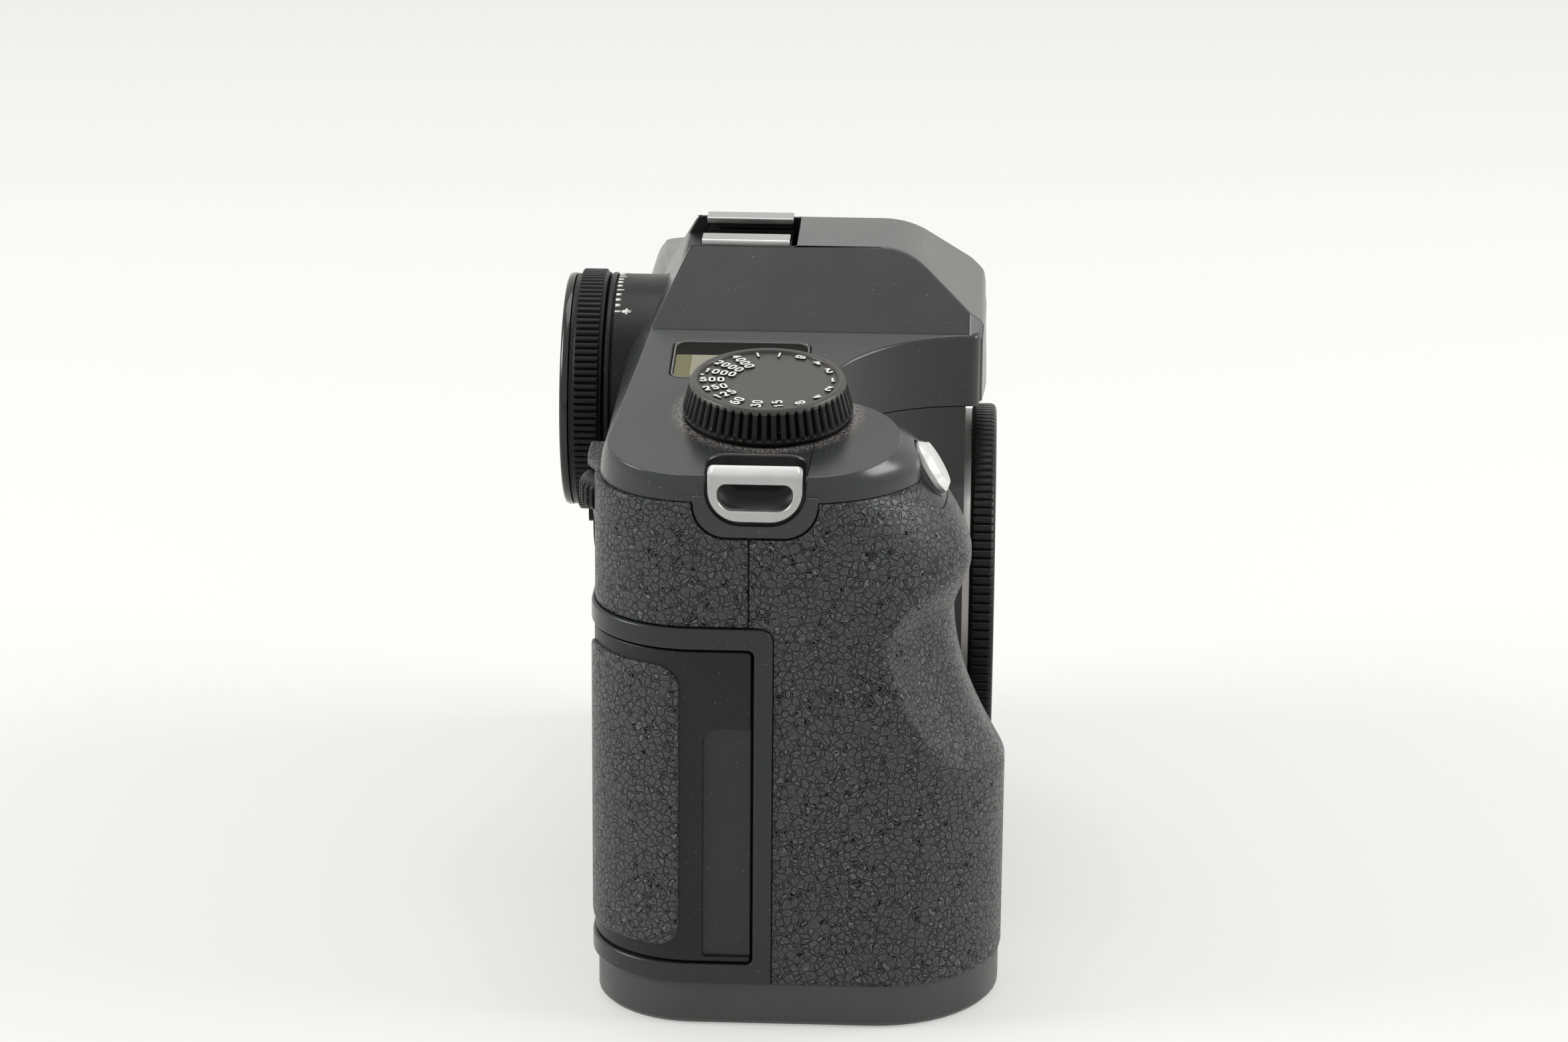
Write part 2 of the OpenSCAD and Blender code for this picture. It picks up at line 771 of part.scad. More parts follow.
// Push button in the rear wall, with a flange behind the wall
module rear_button(x, z) {
    color("#c9c9c8")
    facing_back(x, back_reach - rear_wall - 1.2, z)
        rotate_extrude()
            polygon([
                [0, 0], [button_d / 2 + 1, 0], [button_d / 2 + 1, 0.9], [button_d / 2, 0.9],
                [button_d / 2, rear_wall + 1.8], [button_d / 2 - 0.5, rear_wall + 2.2], [0, rear_wall + 2.2]
            ]);
}

module rear_button_upper_left() { rear_button(rear_button_x, rear_button_h[0]); }
module rear_button_lower_left() { rear_button(rear_button_x, rear_button_h[1]); }
module rear_button_upper_right() { rear_button(-rear_button_x, rear_button_h[0]); }
module rear_button_lower_right() { rear_button(-rear_button_x, rear_button_h[1]); }

// Main switch: a disc with a lever, turning on the back
module main_switch() {
    color("#2b2b2c")
    facing_back(switch_x, back_reach + door_gap, switch_h) {
        cylinder(r = switch_r, h = switch_t);
        linear_extrude(switch_t + 1.2)
            polygon(box_plan(-2.2, -switch_r - 3.5, 2.2, 2, 1.6));
        translate([0, 0, -5])
            cylinder(r = switch_shaft_r, h = 5.5);
    }
}

// Prism housing: front view and side view from a floor upwards, each set in by t
function prism_front_view(t, floor_h) = rounded([
    [-prism_half + t, floor_h, 0],
    [-prism_half + t, plate_h(prism_half), 0.6], [-prism_top_half + 0.41 * t, prism_top - t, 0.9],
    [prism_top_half - 0.41 * t, prism_top - t, 0.9], [prism_half - t, plate_h(prism_half), 0.6],
    [prism_half - t, floor_h, 0]
], 4);
prism_back = 27.2;
prism_top_back = 20.6;
prism_top_front = 20.4;
prism_front_h = 110.2;
function prism_side_view(t, floor_h) = rounded([
    [prism_back - t, floor_h, 0], [prism_back - t, plate_h(prism_half), 1],
    [prism_top_back - t, prism_top - t, 1.5], [-prism_top_front + 0.4 * t, prism_top - t, 25 - t],
    [1.3 + t - brow_reach, prism_front_h - 0.8 * t, 5 - t], [t - brow_reach, floor_h, 0]
], 10);

// Plan of the middle of the top cover, with finger bays and a bowed brow
brow_sag = 1.2;
brow_corner = 2.1;
brow_side = brow_reach - brow_sag;
brow_bow = (neck_half * neck_half + brow_sag * brow_sag) / (2 * brow_sag);
function brow_round(side) = [for (a = [15:15:75])
    [side * (neck_half - brow_corner + brow_corner * cos(a)),
    brow_corner - brow_side - brow_corner * sin(a)]];
function middle_plan(half) = concat(
    [[-half, back_reach], [-half, -body_front]], bay_arc(-1, brow_side - brow_corner), brow_round(-1),
    [for (i = [-6:6])
        let (x = i / 6 * (neck_half - brow_corner))
        [x, brow_bow - brow_reach - sqrt(brow_bow * brow_bow - x * x)]],
    reversed(brow_round(1)), reversed(bay_arc(1, brow_side - brow_corner)), [[half, -body_front], [half,
        back_reach]]
);

// Shoulder block that tapers from the seam up to the sloped plate
module shoulder(side, seam, plate) {
    reach = grip_reach - plate_inset;
    hull() {
        slab(seam, split_h, split_h + 2 * edge_gap);
        multmatrix([[1, 0, 0, 0], [0, 1, 0, 0], [-side * slope, 0, 1, shoulder_h + slope * reach - edge_gap],
            [0, 0, 0, 1]])
            linear_extrude(edge_gap)
                polygon(plate);
    }
}

shoulder_end = 51.5;
left_plate = left_reach - plate_inset;

module shoulders() {
    shoulder(-1,
        rounded([
            [-grip_reach + 0.1, back_reach - 0.6, rear_corner], [-grip_reach + 0.1, -grip_top_reach,
            grip_corner],
            [-shoulder_end + 2, -grip_top_reach, 12.8], [-shoulder_end + 2, back_reach - 0.6, 0]
        ], 10),
        rounded([
            [plate_inset - grip_reach, plate_back + 0.8, 14], [plate_inset - grip_reach, -plate_front, 15.3],
            [-shoulder_end, -plate_front, 14.8], [-shoulder_end, plate_back - 1.2, 0]
        ], 10));
    shoulder(1,
        rounded([
            [left_reach, back_reach - 0.6, left_corner], [shoulder_end - 2, back_reach - 0.6, 0],
            [shoulder_end - 2, -body_front, 0], [left_reach, -body_front, left_corner]
        ], 10),
        rounded([
            [left_plate, plate_back, left_corner - 1], [shoulder_end, plate_back - 1.2, 0],
            [shoulder_end, -body_front, 0], [left_plate, -body_front, left_corner - 1]
        ], 10));
}

// Middle of the top cover under the prism housing
module top_middle() {
    intersection() {
        slab(middle_plan(shoulder_end + 1), split_h, prism_top);
        along_y([
            [-shoulder_end - 1, split_h], [shoulder_end + 1, split_h],
            [shoulder_end + 1, plate_h(shoulder_end + 1)], [0, plate_h(0)],
            [-shoulder_end - 1, plate_h(shoulder_end + 1)]
        ], -2 * back_reach, 2 * back_reach);
        along_x([
            [back_reach - 0.6, split_h], [prism_back, plate_h(0)], [-2 * back_reach, plate_h(0)],
            [-2 * back_reach, split_h]
        ], -2 * back_reach, 2 * back_reach);
    }
}

module prism_housing() {
    intersection() {
        along_y(prism_front_view(0, split_h), -2 * back_reach, 2 * back_reach);
        along_x(prism_side_view(0, split_h), -2 * back_reach, 2 * back_reach);
        slab(middle_plan(shoulder_end), split_h - over, prism_top + over);
    }
}

// Hot shoe
shoe_top = prism_top + 0.8;
shoe_half = 10.75;
shoe_y0 = 3;
shoe_front_gap = 1.2;
shoe_y1 = 18.7;
shoe_lip = 1.2;
shoe_slot = 2.1;
shoe_slot_half = 9.35;
shoe_mouth_half = 5.8;
shoe_floor = shoe_top - shoe_lip - shoe_slot;
shoe_base = 0.9;

top_display_x = 36;
top_display_y = 10.4;
top_display_t = 3.4;
function top_display_plan(grow) = box_plan(-top_display_w / 2 - grow, -top_display_d / 2 - grow,
    top_display_w / 2 + grow, top_display_d / 2 + grow, 2.2 + grow);

prism_wall = 2.4;

module top_cover() {
    color("#222223")
    difference() {
        union() {
            shoulders();
            top_middle();
            prism_housing();
            pod_tongue(0, pod_t);
            lug_apron(-1, grip_reach + 0.2, lug_y, 0, apron_depth);
            lug_apron(1, left_reach + 0.2, left_lug_y, 0, apron_depth);
        }
        // room for the pentaprism
        prism_room();
        // strap pockets
        lug_pocket(-1, grip_reach, lug_y);
        lug_pocket(1, left_reach, left_lug_y);
        // seat and bore of the release button
        on_pod() {
            translate([0, 0, -release_seat])
                cylinder(d = release_d + 2 * door_gap, h = release_seat + over);
            translate([0, 0, -3 * pod_t])
                cylinder(r = release_stem_r + run_gap, h = 3 * pod_t);
        }
        // dial shaft and top display
        on_plate(dial_x, dial_y)
            translate([0, 0, -dial_shaft_len])
                cylinder(r = dial_shaft_r + run_gap, h = dial_shaft_len + over);
        on_plate(top_display_x, top_display_y)
            translate([0, 0, -top_display_t])
                linear_extrude(top_display_t + over)
                    polygon(top_display_plan(edge_gap));
        // hot shoe and eyepiece
        block(-shoe_half - edge_gap, shoe_y0 - shoe_front_gap, shoe_floor - shoe_base,
            shoe_half + edge_gap, back_reach,
            shoe_top + over);
        facing_back(0, prism_room_back, eye_h)
            cylinder(r = eye_r + run_gap, h = back_reach);
        // thumb wheel shaft
        translate([wheel_x, wheel_y, split_h - over])
            cylinder(r = wheel_shaft_r + run_gap, h = over + wheel_shaft_seat);
    }
}

// Room for the pentaprism: its plan, cut between two heights, and its share of the top cover
prism_room_back = 18;
prism_room_front = 24;
prism_room_half = neck_half - 3;
module prism_plan_cut(z0, z1) {
    block(-prism_room_half, -prism_room_front, z0, prism_room_half, 0, z1);
    block(-prism_half + prism_wall, -8, z0, prism_half - prism_wall, prism_room_back, z1);
}

module prism_room() {
    intersection() {
        along_y(prism_front_view(prism_wall, split_h - over), -prism_room_front, prism_room_back);
        along_x(prism_side_view(prism_wall, split_h - over), -2 * back_reach, 2 * back_reach);
        prism_plan_cut(split_h - 2 * over, shoe_floor - shoe_base - 1.2);
    }
}

module grip_cover() {
    color("#313233")
    difference() {
        ring_skin(grip_levels, cover_t);
        lug_apron(-1, grip_reach + 2 * over, lug_y, edge_gap, apron_depth);
        pod_tongue(edge_gap, 3 * pod_t);
        on_pod()
            translate([-pod_w / 2 - edge_gap, -pod_below + 6, -pod_t])
                cube([pod_w + 2 * edge_gap, pod_below + pod_above, 2 * pod_t]);
        on_pod()
            translate([0, 0, -release_seat])
                cylinder(d = release_d + 2 * move_gap, h = release_seat + 2 * pod_t);
    }
}

// Ridge over the thumb wheel, seen from the side
thumb_ridge = 2.2;
module rear_grip_cover() {
    color("#303132")
    difference() {
        union() {
            slab(skin_plan(-skin, cover_proud, seam_y + edge_gap / 2, wheel_zone_x - edge_gap),
                frame_h + edge_gap, split_h);
            intersection() {
                along_x(rounded([
                    [back_reach - skin, wheel_h - wheel_t / 2 - 8, 0],
                    [back_reach + thumb_ridge, wheel_h - wheel_t / 2, 5],
                    [back_reach + thumb_ridge, split_h - 0.6, 1.4],
                    [back_reach - skin, split_h, 0]
                ]), wheel_x - wheel_d, wheel_zone_x - edge_gap);
                slab(box_plan(wheel_x - 11, 0, wheel_zone_x - edge_gap, 2 * back_reach, 0, 1), 0, prism_top);
                slab(skin_plan(-skin, thumb_ridge, seam_y, wheel_zone_x), 0, prism_top);
            }
        }
        lug_apron(-1, grip_reach + 2 * over, lug_y, edge_gap, apron_depth);
        translate([wheel_x, wheel_y, wheel_h - wheel_t / 2 - door_gap])
            cylinder(r = wheel_d / 2 + move_gap, h = wheel_t + 2 * door_gap);
        block(wheel_x - 6, core_back, wheel_h - wheel_t / 2 - door_gap,
            wheel_x + 6, back_reach + 2 * over, wheel_h + wheel_t / 2 + door_gap);
    }
}

// Leatherette round the front left corner
left_leather_t = 0.8;
left_cover_x0 = 53;
module left_cover() {
    color("#303132")
    difference() {
        slab(rounded([
            [left_cover_x0, -body_front - left_leather_t, 0],
            [left_reach + left_leather_t, -body_front - left_leather_t, left_corner + left_leather_t],
            [left_reach + left_leather_t, port_y0 - 1, 0],
            [left_cover_x0, port_y0 - 1, 0]
        ]), base_h + 2, apron_floor_h - 2);
        slab(rounded([
            [left_cover_x0 - over, -body_front, 0],
            [left_reach, -body_front, left_corner],
            [left_reach, port_y0 + over, 0],
            [left_cover_x0 - over, port_y0 + over, 0]
        ]), 0, split_h);
    }
}

module card_door_frame() {
    color("#1b1b1c")
    difference() {
        slab(skin_plan(-skin, frame_proud, frame_y, frame_end_x), base_h, frame_h);
        card_bay();
    }
}

recess_top_h = 54;
recess_y = 14;
recess_deep = 0.8;
module card_door() {
    color("#1e1e1f")
    difference() {
        union() {
            slab(skin_plan(door_proud - door_t, door_proud, window_y + door_gap, hinge_x),
                window_floor_h + door_gap, window_top_h - door_gap);
            translate([hinge_x, hinge_y, window_floor_h + door_gap])
                cylinder(r = hinge_barrel_r, h = window_top_h - window_floor_h - 2 * door_gap);
        }
        // finger recess along the front edge
        along_x(rounded([
            [window_y - over, window_floor_h + door_gap + 0.9, 0], [recess_y,
            window_floor_h + door_gap + 0.9, 0],
            [recess_y, recess_top_h, 3], [window_y - over, recess_top_h, 0]
        ]), -grip_reach - over, -grip_reach - door_proud + recess_deep);
        // hinge pin, and room for the ears of the carrier
        translate([hinge_x, hinge_y, 0])
            cylinder(r = hinge_pin_r + run_gap, h = frame_h);
        for (z = [window_floor_h, window_top_h - hinge_ear - door_gap])
            block(hinge_x - hinge_barrel_r - move_gap, hinge_y - hinge_barrel_r - over, z,
                hinge_x + hinge_barrel_r + over, back_reach + over, z + hinge_ear + door_gap);
    }
}

leather_y = 18;
leather_edge = 3;
leather_proud = 0.6;
leather_end_x = hinge_x - hinge_barrel_r - 2;
leather_floor_h = window_floor_h + leather_edge;
leather_top_h = window_top_h - leather_edge;
module card_door_leatherette() {
    color("#313233")
    intersection() {
        slab(skin_plan(door_proud, door_proud + leather_proud, window_y, hinge_x), window_floor_h,
            window_top_h);
        along_x(box_plan(leather_y, leather_floor_h, 2 * back_reach, leather_top_h, 4), -2 * grip_reach, 0);
        along_y(box_plan(-2 * grip_reach, leather_floor_h, leather_end_x, leather_top_h, 4), 0,
            2 * back_reach);
    }
}

// Sliding carrier with two ears that hold the hinge pin
carrier_y0 = 18;
module door_hinge_carrier() {
    color("#777777")
    difference() {
        union() {
            block(hinge_x - hinge_barrel_r, carrier_y0, window_floor_h + door_gap,
                window_x - door_gap, hinge_y - hinge_barrel_r - move_gap, window_top_h - door_gap);
            for (z = [window_floor_h + door_gap, window_top_h - hinge_ear + door_gap]) {
                block(hinge_x - 2.2, carrier_y0, z, hinge_x + 2.2, hinge_y, z + hinge_ear - 2 * door_gap);
                translate([hinge_x, hinge_y, z])
                    cylinder(r = 2.2, h = hinge_ear - 2 * door_gap);
            }
        }
        translate([hinge_x, hinge_y, 0])
            cylinder(r = hinge_pin_r + run_gap, h = frame_h);
    }
}

module door_hinge_pin() {
    color("#b8b8b8")
    translate([hinge_x, hinge_y, window_floor_h + door_gap])
        cylinder(r = hinge_pin_r, h = window_top_h - window_floor_h - 2 * door_gap);
}

// Two card slots in a block behind the door
card_slot_x0 = -79;
card_tall = 43;
card_short = 25;
card_margin = 6;
card_wall = 3;
module card_slot() {
    color("#3a3a3d")
    difference() {
        block(card_slot_x0, window_y, window_floor_h + card_margin, hinge_x - hinge_barrel_r - 1.2,
            window_y + 12,
            window_top_h - card_margin);
        block(card_slot_x0 - over, window_y + 2, window_floor_h + card_margin + card_wall, hinge_x - 5,
            window_y + 5.4, window_floor_h + card_margin + card_wall + card_tall);
        block(card_slot_x0 - over, window_y + 7.6, window_floor_h + card_margin + card_wall, hinge_x - 5,
            window_y + 10, window_floor_h + card_margin + card_wall + card_short);
    }
}

module battery() {
    color("#2f2f30")
    slab(box_plan(battery_x0, battery_y0, battery_x1, battery_y1, 2), battery_floor_h, battery_top_h);
}

// Battery lock: a disc with a finger bar, turning in the base
module battery_lock() {
    color("#9a9a9a")
    difference() {
        translate([lock_x, lock_y, 0.4]) {
            cylinder(r = lock_r, h = 1.7);
            cylinder(r = 2, h = base_h - 1.8);
        }
        for (s = [-1, 1])
            slab(box_plan(lock_x - 4.4, lock_y + s * 2.6 - 1.4, lock_x + 4.4, lock_y + s * 2.6 + 1.4,
                1.2), -1, 1.2);
    }
}

module socket(x, r, thread_r) {
    color("#bdbdbd")
    translate([x, 0, 0])
        difference() {
            cylinder(r = r, h = base_h);
            translate([0, 0, -over])
                cylinder(r = thread_r, h = socket_depth + over);
        }
}

module tripod_socket() { socket(0, socket_r, small_thread_r); }
module tripod_socket_large() { socket(large_socket_x, large_socket_r, large_thread_r); }

module screw(length) {
    cylinder(r = screw_head_r, h = screw_head_t - 0.3);
    cylinder(r = screw_r, h = length);
}

module base_screws() {
    color("#444444")
    for (p = base_screw_places)
        translate([p[0], p[1], 0.3])
            screw(base_h + 2.4);
}

// Bayonet mount: three tabs stand inwards from its bore
tab_count = 3;
tab_span = 40;
mount_tab_t = 1.8;
mount_front = mount_face + mount_t;
tab_y = mount_front - 0.4;

// Ring sector between two radii, from the front at y towards the back
module sector(r0, r1, y, t, mid, span) {
    facing_back(0, -y, axis_h)
        rotate([0, 0, mid - span / 2])
            rotate_extrude(angle = span)
                translate([r0, 0])
                    square([r1 - r0, t]);
}

module lens_mount() {
    color("#c4c4c4")
    difference() {
        union() {
            facing_back(0, -mount_front, axis_h)
                difference() {
                    cylinder(r = mount_r, h = mount_t);
                    translate([0, 0, -over])
                        cylinder(r = mount_bore_r, h = mount_t + 2 * over);
                }
            facing_back(0, -mount_face - sliver, axis_h)
                difference() {
                    cylinder(r = throat_r - edge_gap, h = 2.2);
                    translate([0, 0, -over])
                        cylinder(r = mount_bore_r, h = 2.2 + 2 * over);
                }
            for (i = [0:tab_count - 1])
                sector(mount_bore_r - tab_h, mount_bore_r + 0.5, tab_y, mount_tab_t, 90 + 360 * i / tab_count,
                    tab_span);
        }
        for (a = mount_screw_angles)
            facing_back(mount_screw_pcr * cos(a), -mount_front - over, axis_h + mount_screw_pcr * sin(a)) {
                cylinder(r = screw_r + run_gap, h = 3 * over);
                cylinder(r = 1.7 + run_gap, h = over + 0.7);
            }
    }
}

module mount_screws() {
    color("#8c8c8c")
    for (a = mount_screw_angles)
        facing_back(mount_screw_pcr * cos(a), -mount_front + 0.05, axis_h + mount_screw_pcr * sin(a)) {
            cylinder(r = 1.7, h = 0.65);
            cylinder(r = screw_r, h = 4.5);
        }
}

// Body cap: ribbed rim, dished face, a skirt with three tabs that lock behind the mount's tabs
cap_back = mount_front + 0.02;
cap_front = cap_back + cap_t;
skirt_r = mount_bore_r - tab_h - 0.35;
module body_cap() {
    color("#161617")
    union() {
        difference() {
            union() {
                facing_front(0, -cap_back - 0.5, axis_h)
                    linear_extrude(cap_t - 1)
                        polygon(ribbed(cap_r, 0.6, 96));
                facing_front(0, -cap_back, axis_h)
                    cylinder(r = cap_r - 0.8, h = cap_t);
            }
            facing_front(0, -cap_front + 1, axis_h)
                cylinder(r = cap_r - 4, h = 1 + over);
        }
        facing_back(0, -cap_back - sliver, axis_h)
            difference() {
                cylinder(r = skirt_r, h = cap_back - tab_y + mount_tab_t + 1.8);
                translate([0, 0, sliver])
                    cylinder(r = skirt_r - 1.6, h = cap_back);
            }
        for (i = [0:tab_count - 1])
            sector(skirt_r - 0.6, mount_bore_r - 0.35, tab_y - mount_tab_t - 0.3, 1.4,
                90 + 360 * i / tab_count,
                tab_span - 2);
    }
}

// Tunnel of the mirror box, open to the lens, to the screen above and to the shutter behind
box_half = chamber_half - 0.05;
module mirror_box() {
    color("#1a1a1a")
    difference() {
        block(-box_half, -chamber_front + 0.3, chamber_floor_h, box_half, shutter_y, screen_h);
        block(-box_half + box_wall, -chamber_front - over, chamber_floor_h + 6, box_half - box_wall,
            shutter_y - box_wall, screen_h + over);
        block(-24, 0, axis_h - 17, 24, shutter_y + over, axis_h + 12);
        facing_front(0, 0, axis_h)
            cylinder(r = throat_r - 3, h = chamber_front + over);
        translate([-box_half - over, mirror_y, mirror_h])
            rotate([0, 90, 0])
                cylinder(r = mirror_pin_r + run_gap, h = 2 * box_half + 2 * over);
    }
}

module mirror_pin() {
    color("#b0b0b0")
    translate([-box_half + 0.3, mirror_y, mirror_h])
        rotate([0, 90, 0])
            cylinder(r = mirror_pin_r, h = 2 * box_half - 0.6);
}

// Frame of the mirror: local Y runs from the hinge down the mirror, local Z leaves its face
module on_mirror() {
    translate([0, mirror_y, mirror_h])
        rotate([45, 0, 0])
            children();
}

holder_t = 1.4;
module mirror_holder() {
    color("#555557")
    difference() {
        on_mirror() {
            block(-mirror_half - 1, -mirror_len, -0.7, mirror_half + 1, 0, holder_t - 0.7);
            rotate([0, 90, 0])
                translate([0, 0, -mirror_half - 1])
                    cylinder(r = 1.8, h = 2 * mirror_half + 2);
        }
        translate([-box_half, mirror_y, mirror_h])
            rotate([0, 90, 0])
                cylinder(r = mirror_pin_r + run_gap, h = 2 * box_half);
    }
}

module reflex_mirror() {
    color("#dfe6ea")
    on_mirror()
        block(-mirror_half, 0.6 - mirror_len, holder_t - 0.7, mirror_half, -2.4, holder_t + 0.7);
}

module focusing_screen() {
    color("#d8dcd8")
    block(-screen_half, -screen_front, screen_h, screen_half, shutter_y - 0.5, screen_h + screen_t);
}

prism_glass_gap = 0.4;

// Pentaprism: five-sided in side view, with a roof that follows the housing
// Side outline of the prism glass: foot, front and back corners, roof
glass_foot_front = 14;
glass_foot_back = 12;
glass_back_h = 80;
glass_front_h = 82;
glass_eave_h = 104;
glass_roof_back = 4;
glass_roof_front = 10;
glass_front = 22;
module pentaprism() {
    color("#bcd0d8")
    intersection() {
        along_x([
            [-glass_foot_front, screen_h + screen_t], [glass_foot_back, screen_h + screen_t],
            [prism_room_back - 1.4, glass_back_h], [prism_room_back - 1.4, glass_eave_h],
            [glass_roof_back, shoe_floor - shoe_base - 1.6], [-glass_roof_front,
            shoe_floor - shoe_base - 1.6],
            [-glass_front, glass_eave_h], [-glass_front, glass_front_h]
        ], -prism_half, prism_half);
        along_y(prism_front_view(prism_wall + prism_glass_gap, 0), -2 * back_reach, 2 * back_reach);
        union() {
            block(-prism_room_half + prism_glass_gap, -2 * back_reach, 0,
                prism_room_half - prism_glass_gap, 0,
                prism_top);
            block(-prism_half, -8 + prism_glass_gap, 0, prism_half, prism_room_back, prism_top);
        }
    }
}

// Gate of the shutter and the sensor behind it
gate_half_w = 23.5;
gate_half_h = 16;
gate_step = 1.6;
sensor_half_w = 27;
sensor_half_h = 17;
module shutter_unit() {
    color("#2c2c2e")
    difference() {
        block(-box_half, shutter_y, chamber_floor_h, box_half, shutter_y + shutter_t, screen_h);
        block(-gate_half_w, shutter_y - over, axis_h - gate_half_h, gate_half_w, shutter_y + gate_step,
            axis_h + gate_half_h);
        block(-gate_half_w, shutter_y + shutter_t - gate_step, axis_h - gate_half_h, gate_half_w,
            shutter_y + shutter_t + over, axis_h + gate_half_h);
    }
}

module image_sensor() {
    color("#23352f")
    block(-sensor_half_w, shutter_y + shutter_t, axis_h - sensor_half_h, sensor_half_w,
        shutter_y + shutter_t + sensor_t, axis_h + sensor_half_h);
}

module main_board() {
    color("#1f4a2e")
    block(frame_end_x + 8, rear_split + 0.6, base_h + 6, left_reach - 12, rear_split + 2.2,
        eye_h - eye_r - 5);
}

// Eyepiece: fixed barrel with a sleeve, ribbed dioptre ring on the sleeve, rim and lens
ring_y0 = 36.1;
ring_y1 = eye_reach - 1.7;
barrel_y0 = prism_room_back + 0.2;
module eyepiece_barrel() {
    color("#1c1c1d")
    facing_back(0, barrel_y0, eye_h)
        rotate_extrude()
            polygon([
                [sleeve_r - 2, 0], [eye_r, 0], [eye_r, ring_y0 - 0.3 - barrel_y0],
                [sleeve_r, ring_y0 - 0.3 - barrel_y0], [sleeve_r, ring_y1 + 0.1 - barrel_y0],
                [sleeve_r - 2, ring_y1 + 0.1 - barrel_y0]
            ]);
}

module dioptre_ring() {
    color("#151516")
    facing_back(0, ring_y0, eye_h)
        difference() {
            union() {
                linear_extrude(ring_y1 - ring_y0 - 1.4)
                    polygon(ribbed(dioptre_r, 0.6, 72));
                cylinder(r = dioptre_r - 0.7, h = ring_y1 - ring_y0);
            }
            translate([0, 0, -over])
                cylinder(r = sleeve_r + run_gap, h = ring_y1 - ring_y0 + 2 * over);
        }
}

module eyepiece_rim() {
    color("#0e0e0f")
    facing_back(0, ring_y1 + 0.1, eye_h)
        rotate_extrude()
            polygon([
                [sleeve_r - 2, 0], [dioptre_r - 0.8, 0], [dioptre_r - 0.5, 0.5],
                [dioptre_r - 0.5, eye_reach - ring_y1 - 0.6], [dioptre_r - 1, eye_reach - ring_y1 - 0.1],
                [sleeve_r - 0.4, eye_reach - ring_y1 - 0.1], [sleeve_r - 2, 0.7]
            ]);
}

module eyepiece_lens() {
    color("#9fb4c4")
    facing_back(0, ring_y1 - 4, eye_h)
        cylinder(r = sleeve_r - 2 - run_gap, h = 3.2);
}

module hot_shoe() {
    color("#c6c6c6")
    along_y([
        [-shoe_half, shoe_floor - shoe_base], [shoe_half, shoe_floor - shoe_base], [shoe_half, shoe_top],
        [shoe_mouth_half, shoe_top], [shoe_mouth_half, shoe_top - shoe_lip],
        [shoe_slot_half, shoe_top - shoe_lip], [shoe_slot_half, shoe_floor], [-shoe_slot_half, shoe_floor],
        [-shoe_slot_half, shoe_top - shoe_lip], [-shoe_mouth_half, shoe_top - shoe_lip],
        [-shoe_mouth_half, shoe_top], [-shoe_half, shoe_top]
    ], shoe_y0, shoe_y1);
}

module hot_shoe_contacts() {
    color("#101011")
    union() {
        block(-shoe_slot_half + 1, shoe_y0 + 0.4, shoe_floor, shoe_slot_half - 1, shoe_y1 - 2,
            shoe_floor + 0.3);
        translate([0, (shoe_y0 + shoe_y1) / 2, shoe_floor])
            cylinder(r = 1.8, h = 0.5);
    }
}

dial_shaft_r = 3;
dial_shaft_len = 6;
dial_lift = 0.3;
dial_rim = 1.1;
dial_face = 0.6;
module shutter_dial() {
    color("#131314")
    on_plate(dial_x, dial_y)
        translate([0, 0, dial_lift])
            difference() {
                linear_extrude(dial_t - dial_lift, scale = dial_top_d / dial_d)
                    polygon(ribbed(dial_d / 2, 0.7, 48));
                translate([0, 0, dial_t - dial_lift - dial_face])
                    cylinder(r = dial_top_d / 2 - dial_rim - 0.4, h = dial_face + over);
            }
}

module dial_shaft() {
    color("#a0a0a0")
    on_plate(dial_x, dial_y)
        translate([0, 0, -dial_shaft_len + 0.3])
            cylinder(r = dial_shaft_r, h = dial_shaft_len - 0.3 + dial_lift);
}

top_glass_t = 1.2;
module top_display_glass() {
    color("#2a2b24")
    on_plate(top_display_x, top_display_y)
        translate([0, 0, -top_glass_t - 0.1])
            linear_extrude(top_glass_t)
                polygon(top_display_plan(0));
}

module top_display_panel() {
    color("#7d7c62")
    on_plate(top_display_x, top_display_y)
        translate([0, 0, -top_display_t])
            linear_extrude(top_display_t - top_glass_t - 0.1)
                polygon(top_display_plan(-0.6));
}

module release_button() {
    color("#d2d2d2")
    on_pod()
        rotate_extrude()
            polygon([
                [0, -pod_t + 0.2], [release_stem_r, -pod_t + 0.2], [release_stem_r, -0.2],
                [release_d / 2, -0.2],
                [release_d / 2, 0.9], [release_d / 2 - 1.2, release_head], [0, release_head]
            ]);
}

// Strap lug: a D-shaped loop with a tongue that seats at the back of its pocket
module strap_lug(side, reach, y) {
    color("#bfbfbf")
    difference() {
        union() {
            lug_loop(side, reach, y);
            block(min(side * (reach - lug_pocket_depth), side * reach), y - 3.6, lug_floor_h + 0.25,
                max(side * (reach - lug_pocket_depth), side * reach), y + 3.6, lug_floor_h + 1.6);
        }
        along_x(rounded([
            [y - lug_w / 2 + 1.7, lug_floor_h + 1.9, 2.8], [y + lug_w / 2 - 1.7, lug_floor_h + 1.9, 2.8],
            [y + lug_w / 2 - 1.7, lug_floor_h + lug_h - 2.9, 1.4],
            [y - lug_w / 2 + 1.7, lug_floor_h + lug_h - 2.9, 1.4]
        ]), -2 * reach, 2 * reach);
    }
}

module lug_loop(side, reach, y) {
    x0 = side * (reach + lug_proud - lug_t);
    x1 = side * (reach + lug_proud);
    along_x(rounded([
        [y - lug_w / 2, lug_floor_h, 5.4], [y + lug_w / 2, lug_floor_h, 5.4],
        [y + lug_w / 2, lug_floor_h + lug_h, 0.8], [y - lug_w / 2, lug_floor_h + lug_h, 0.8]
    ]), min(x0, x1), max(x0, x1));
}

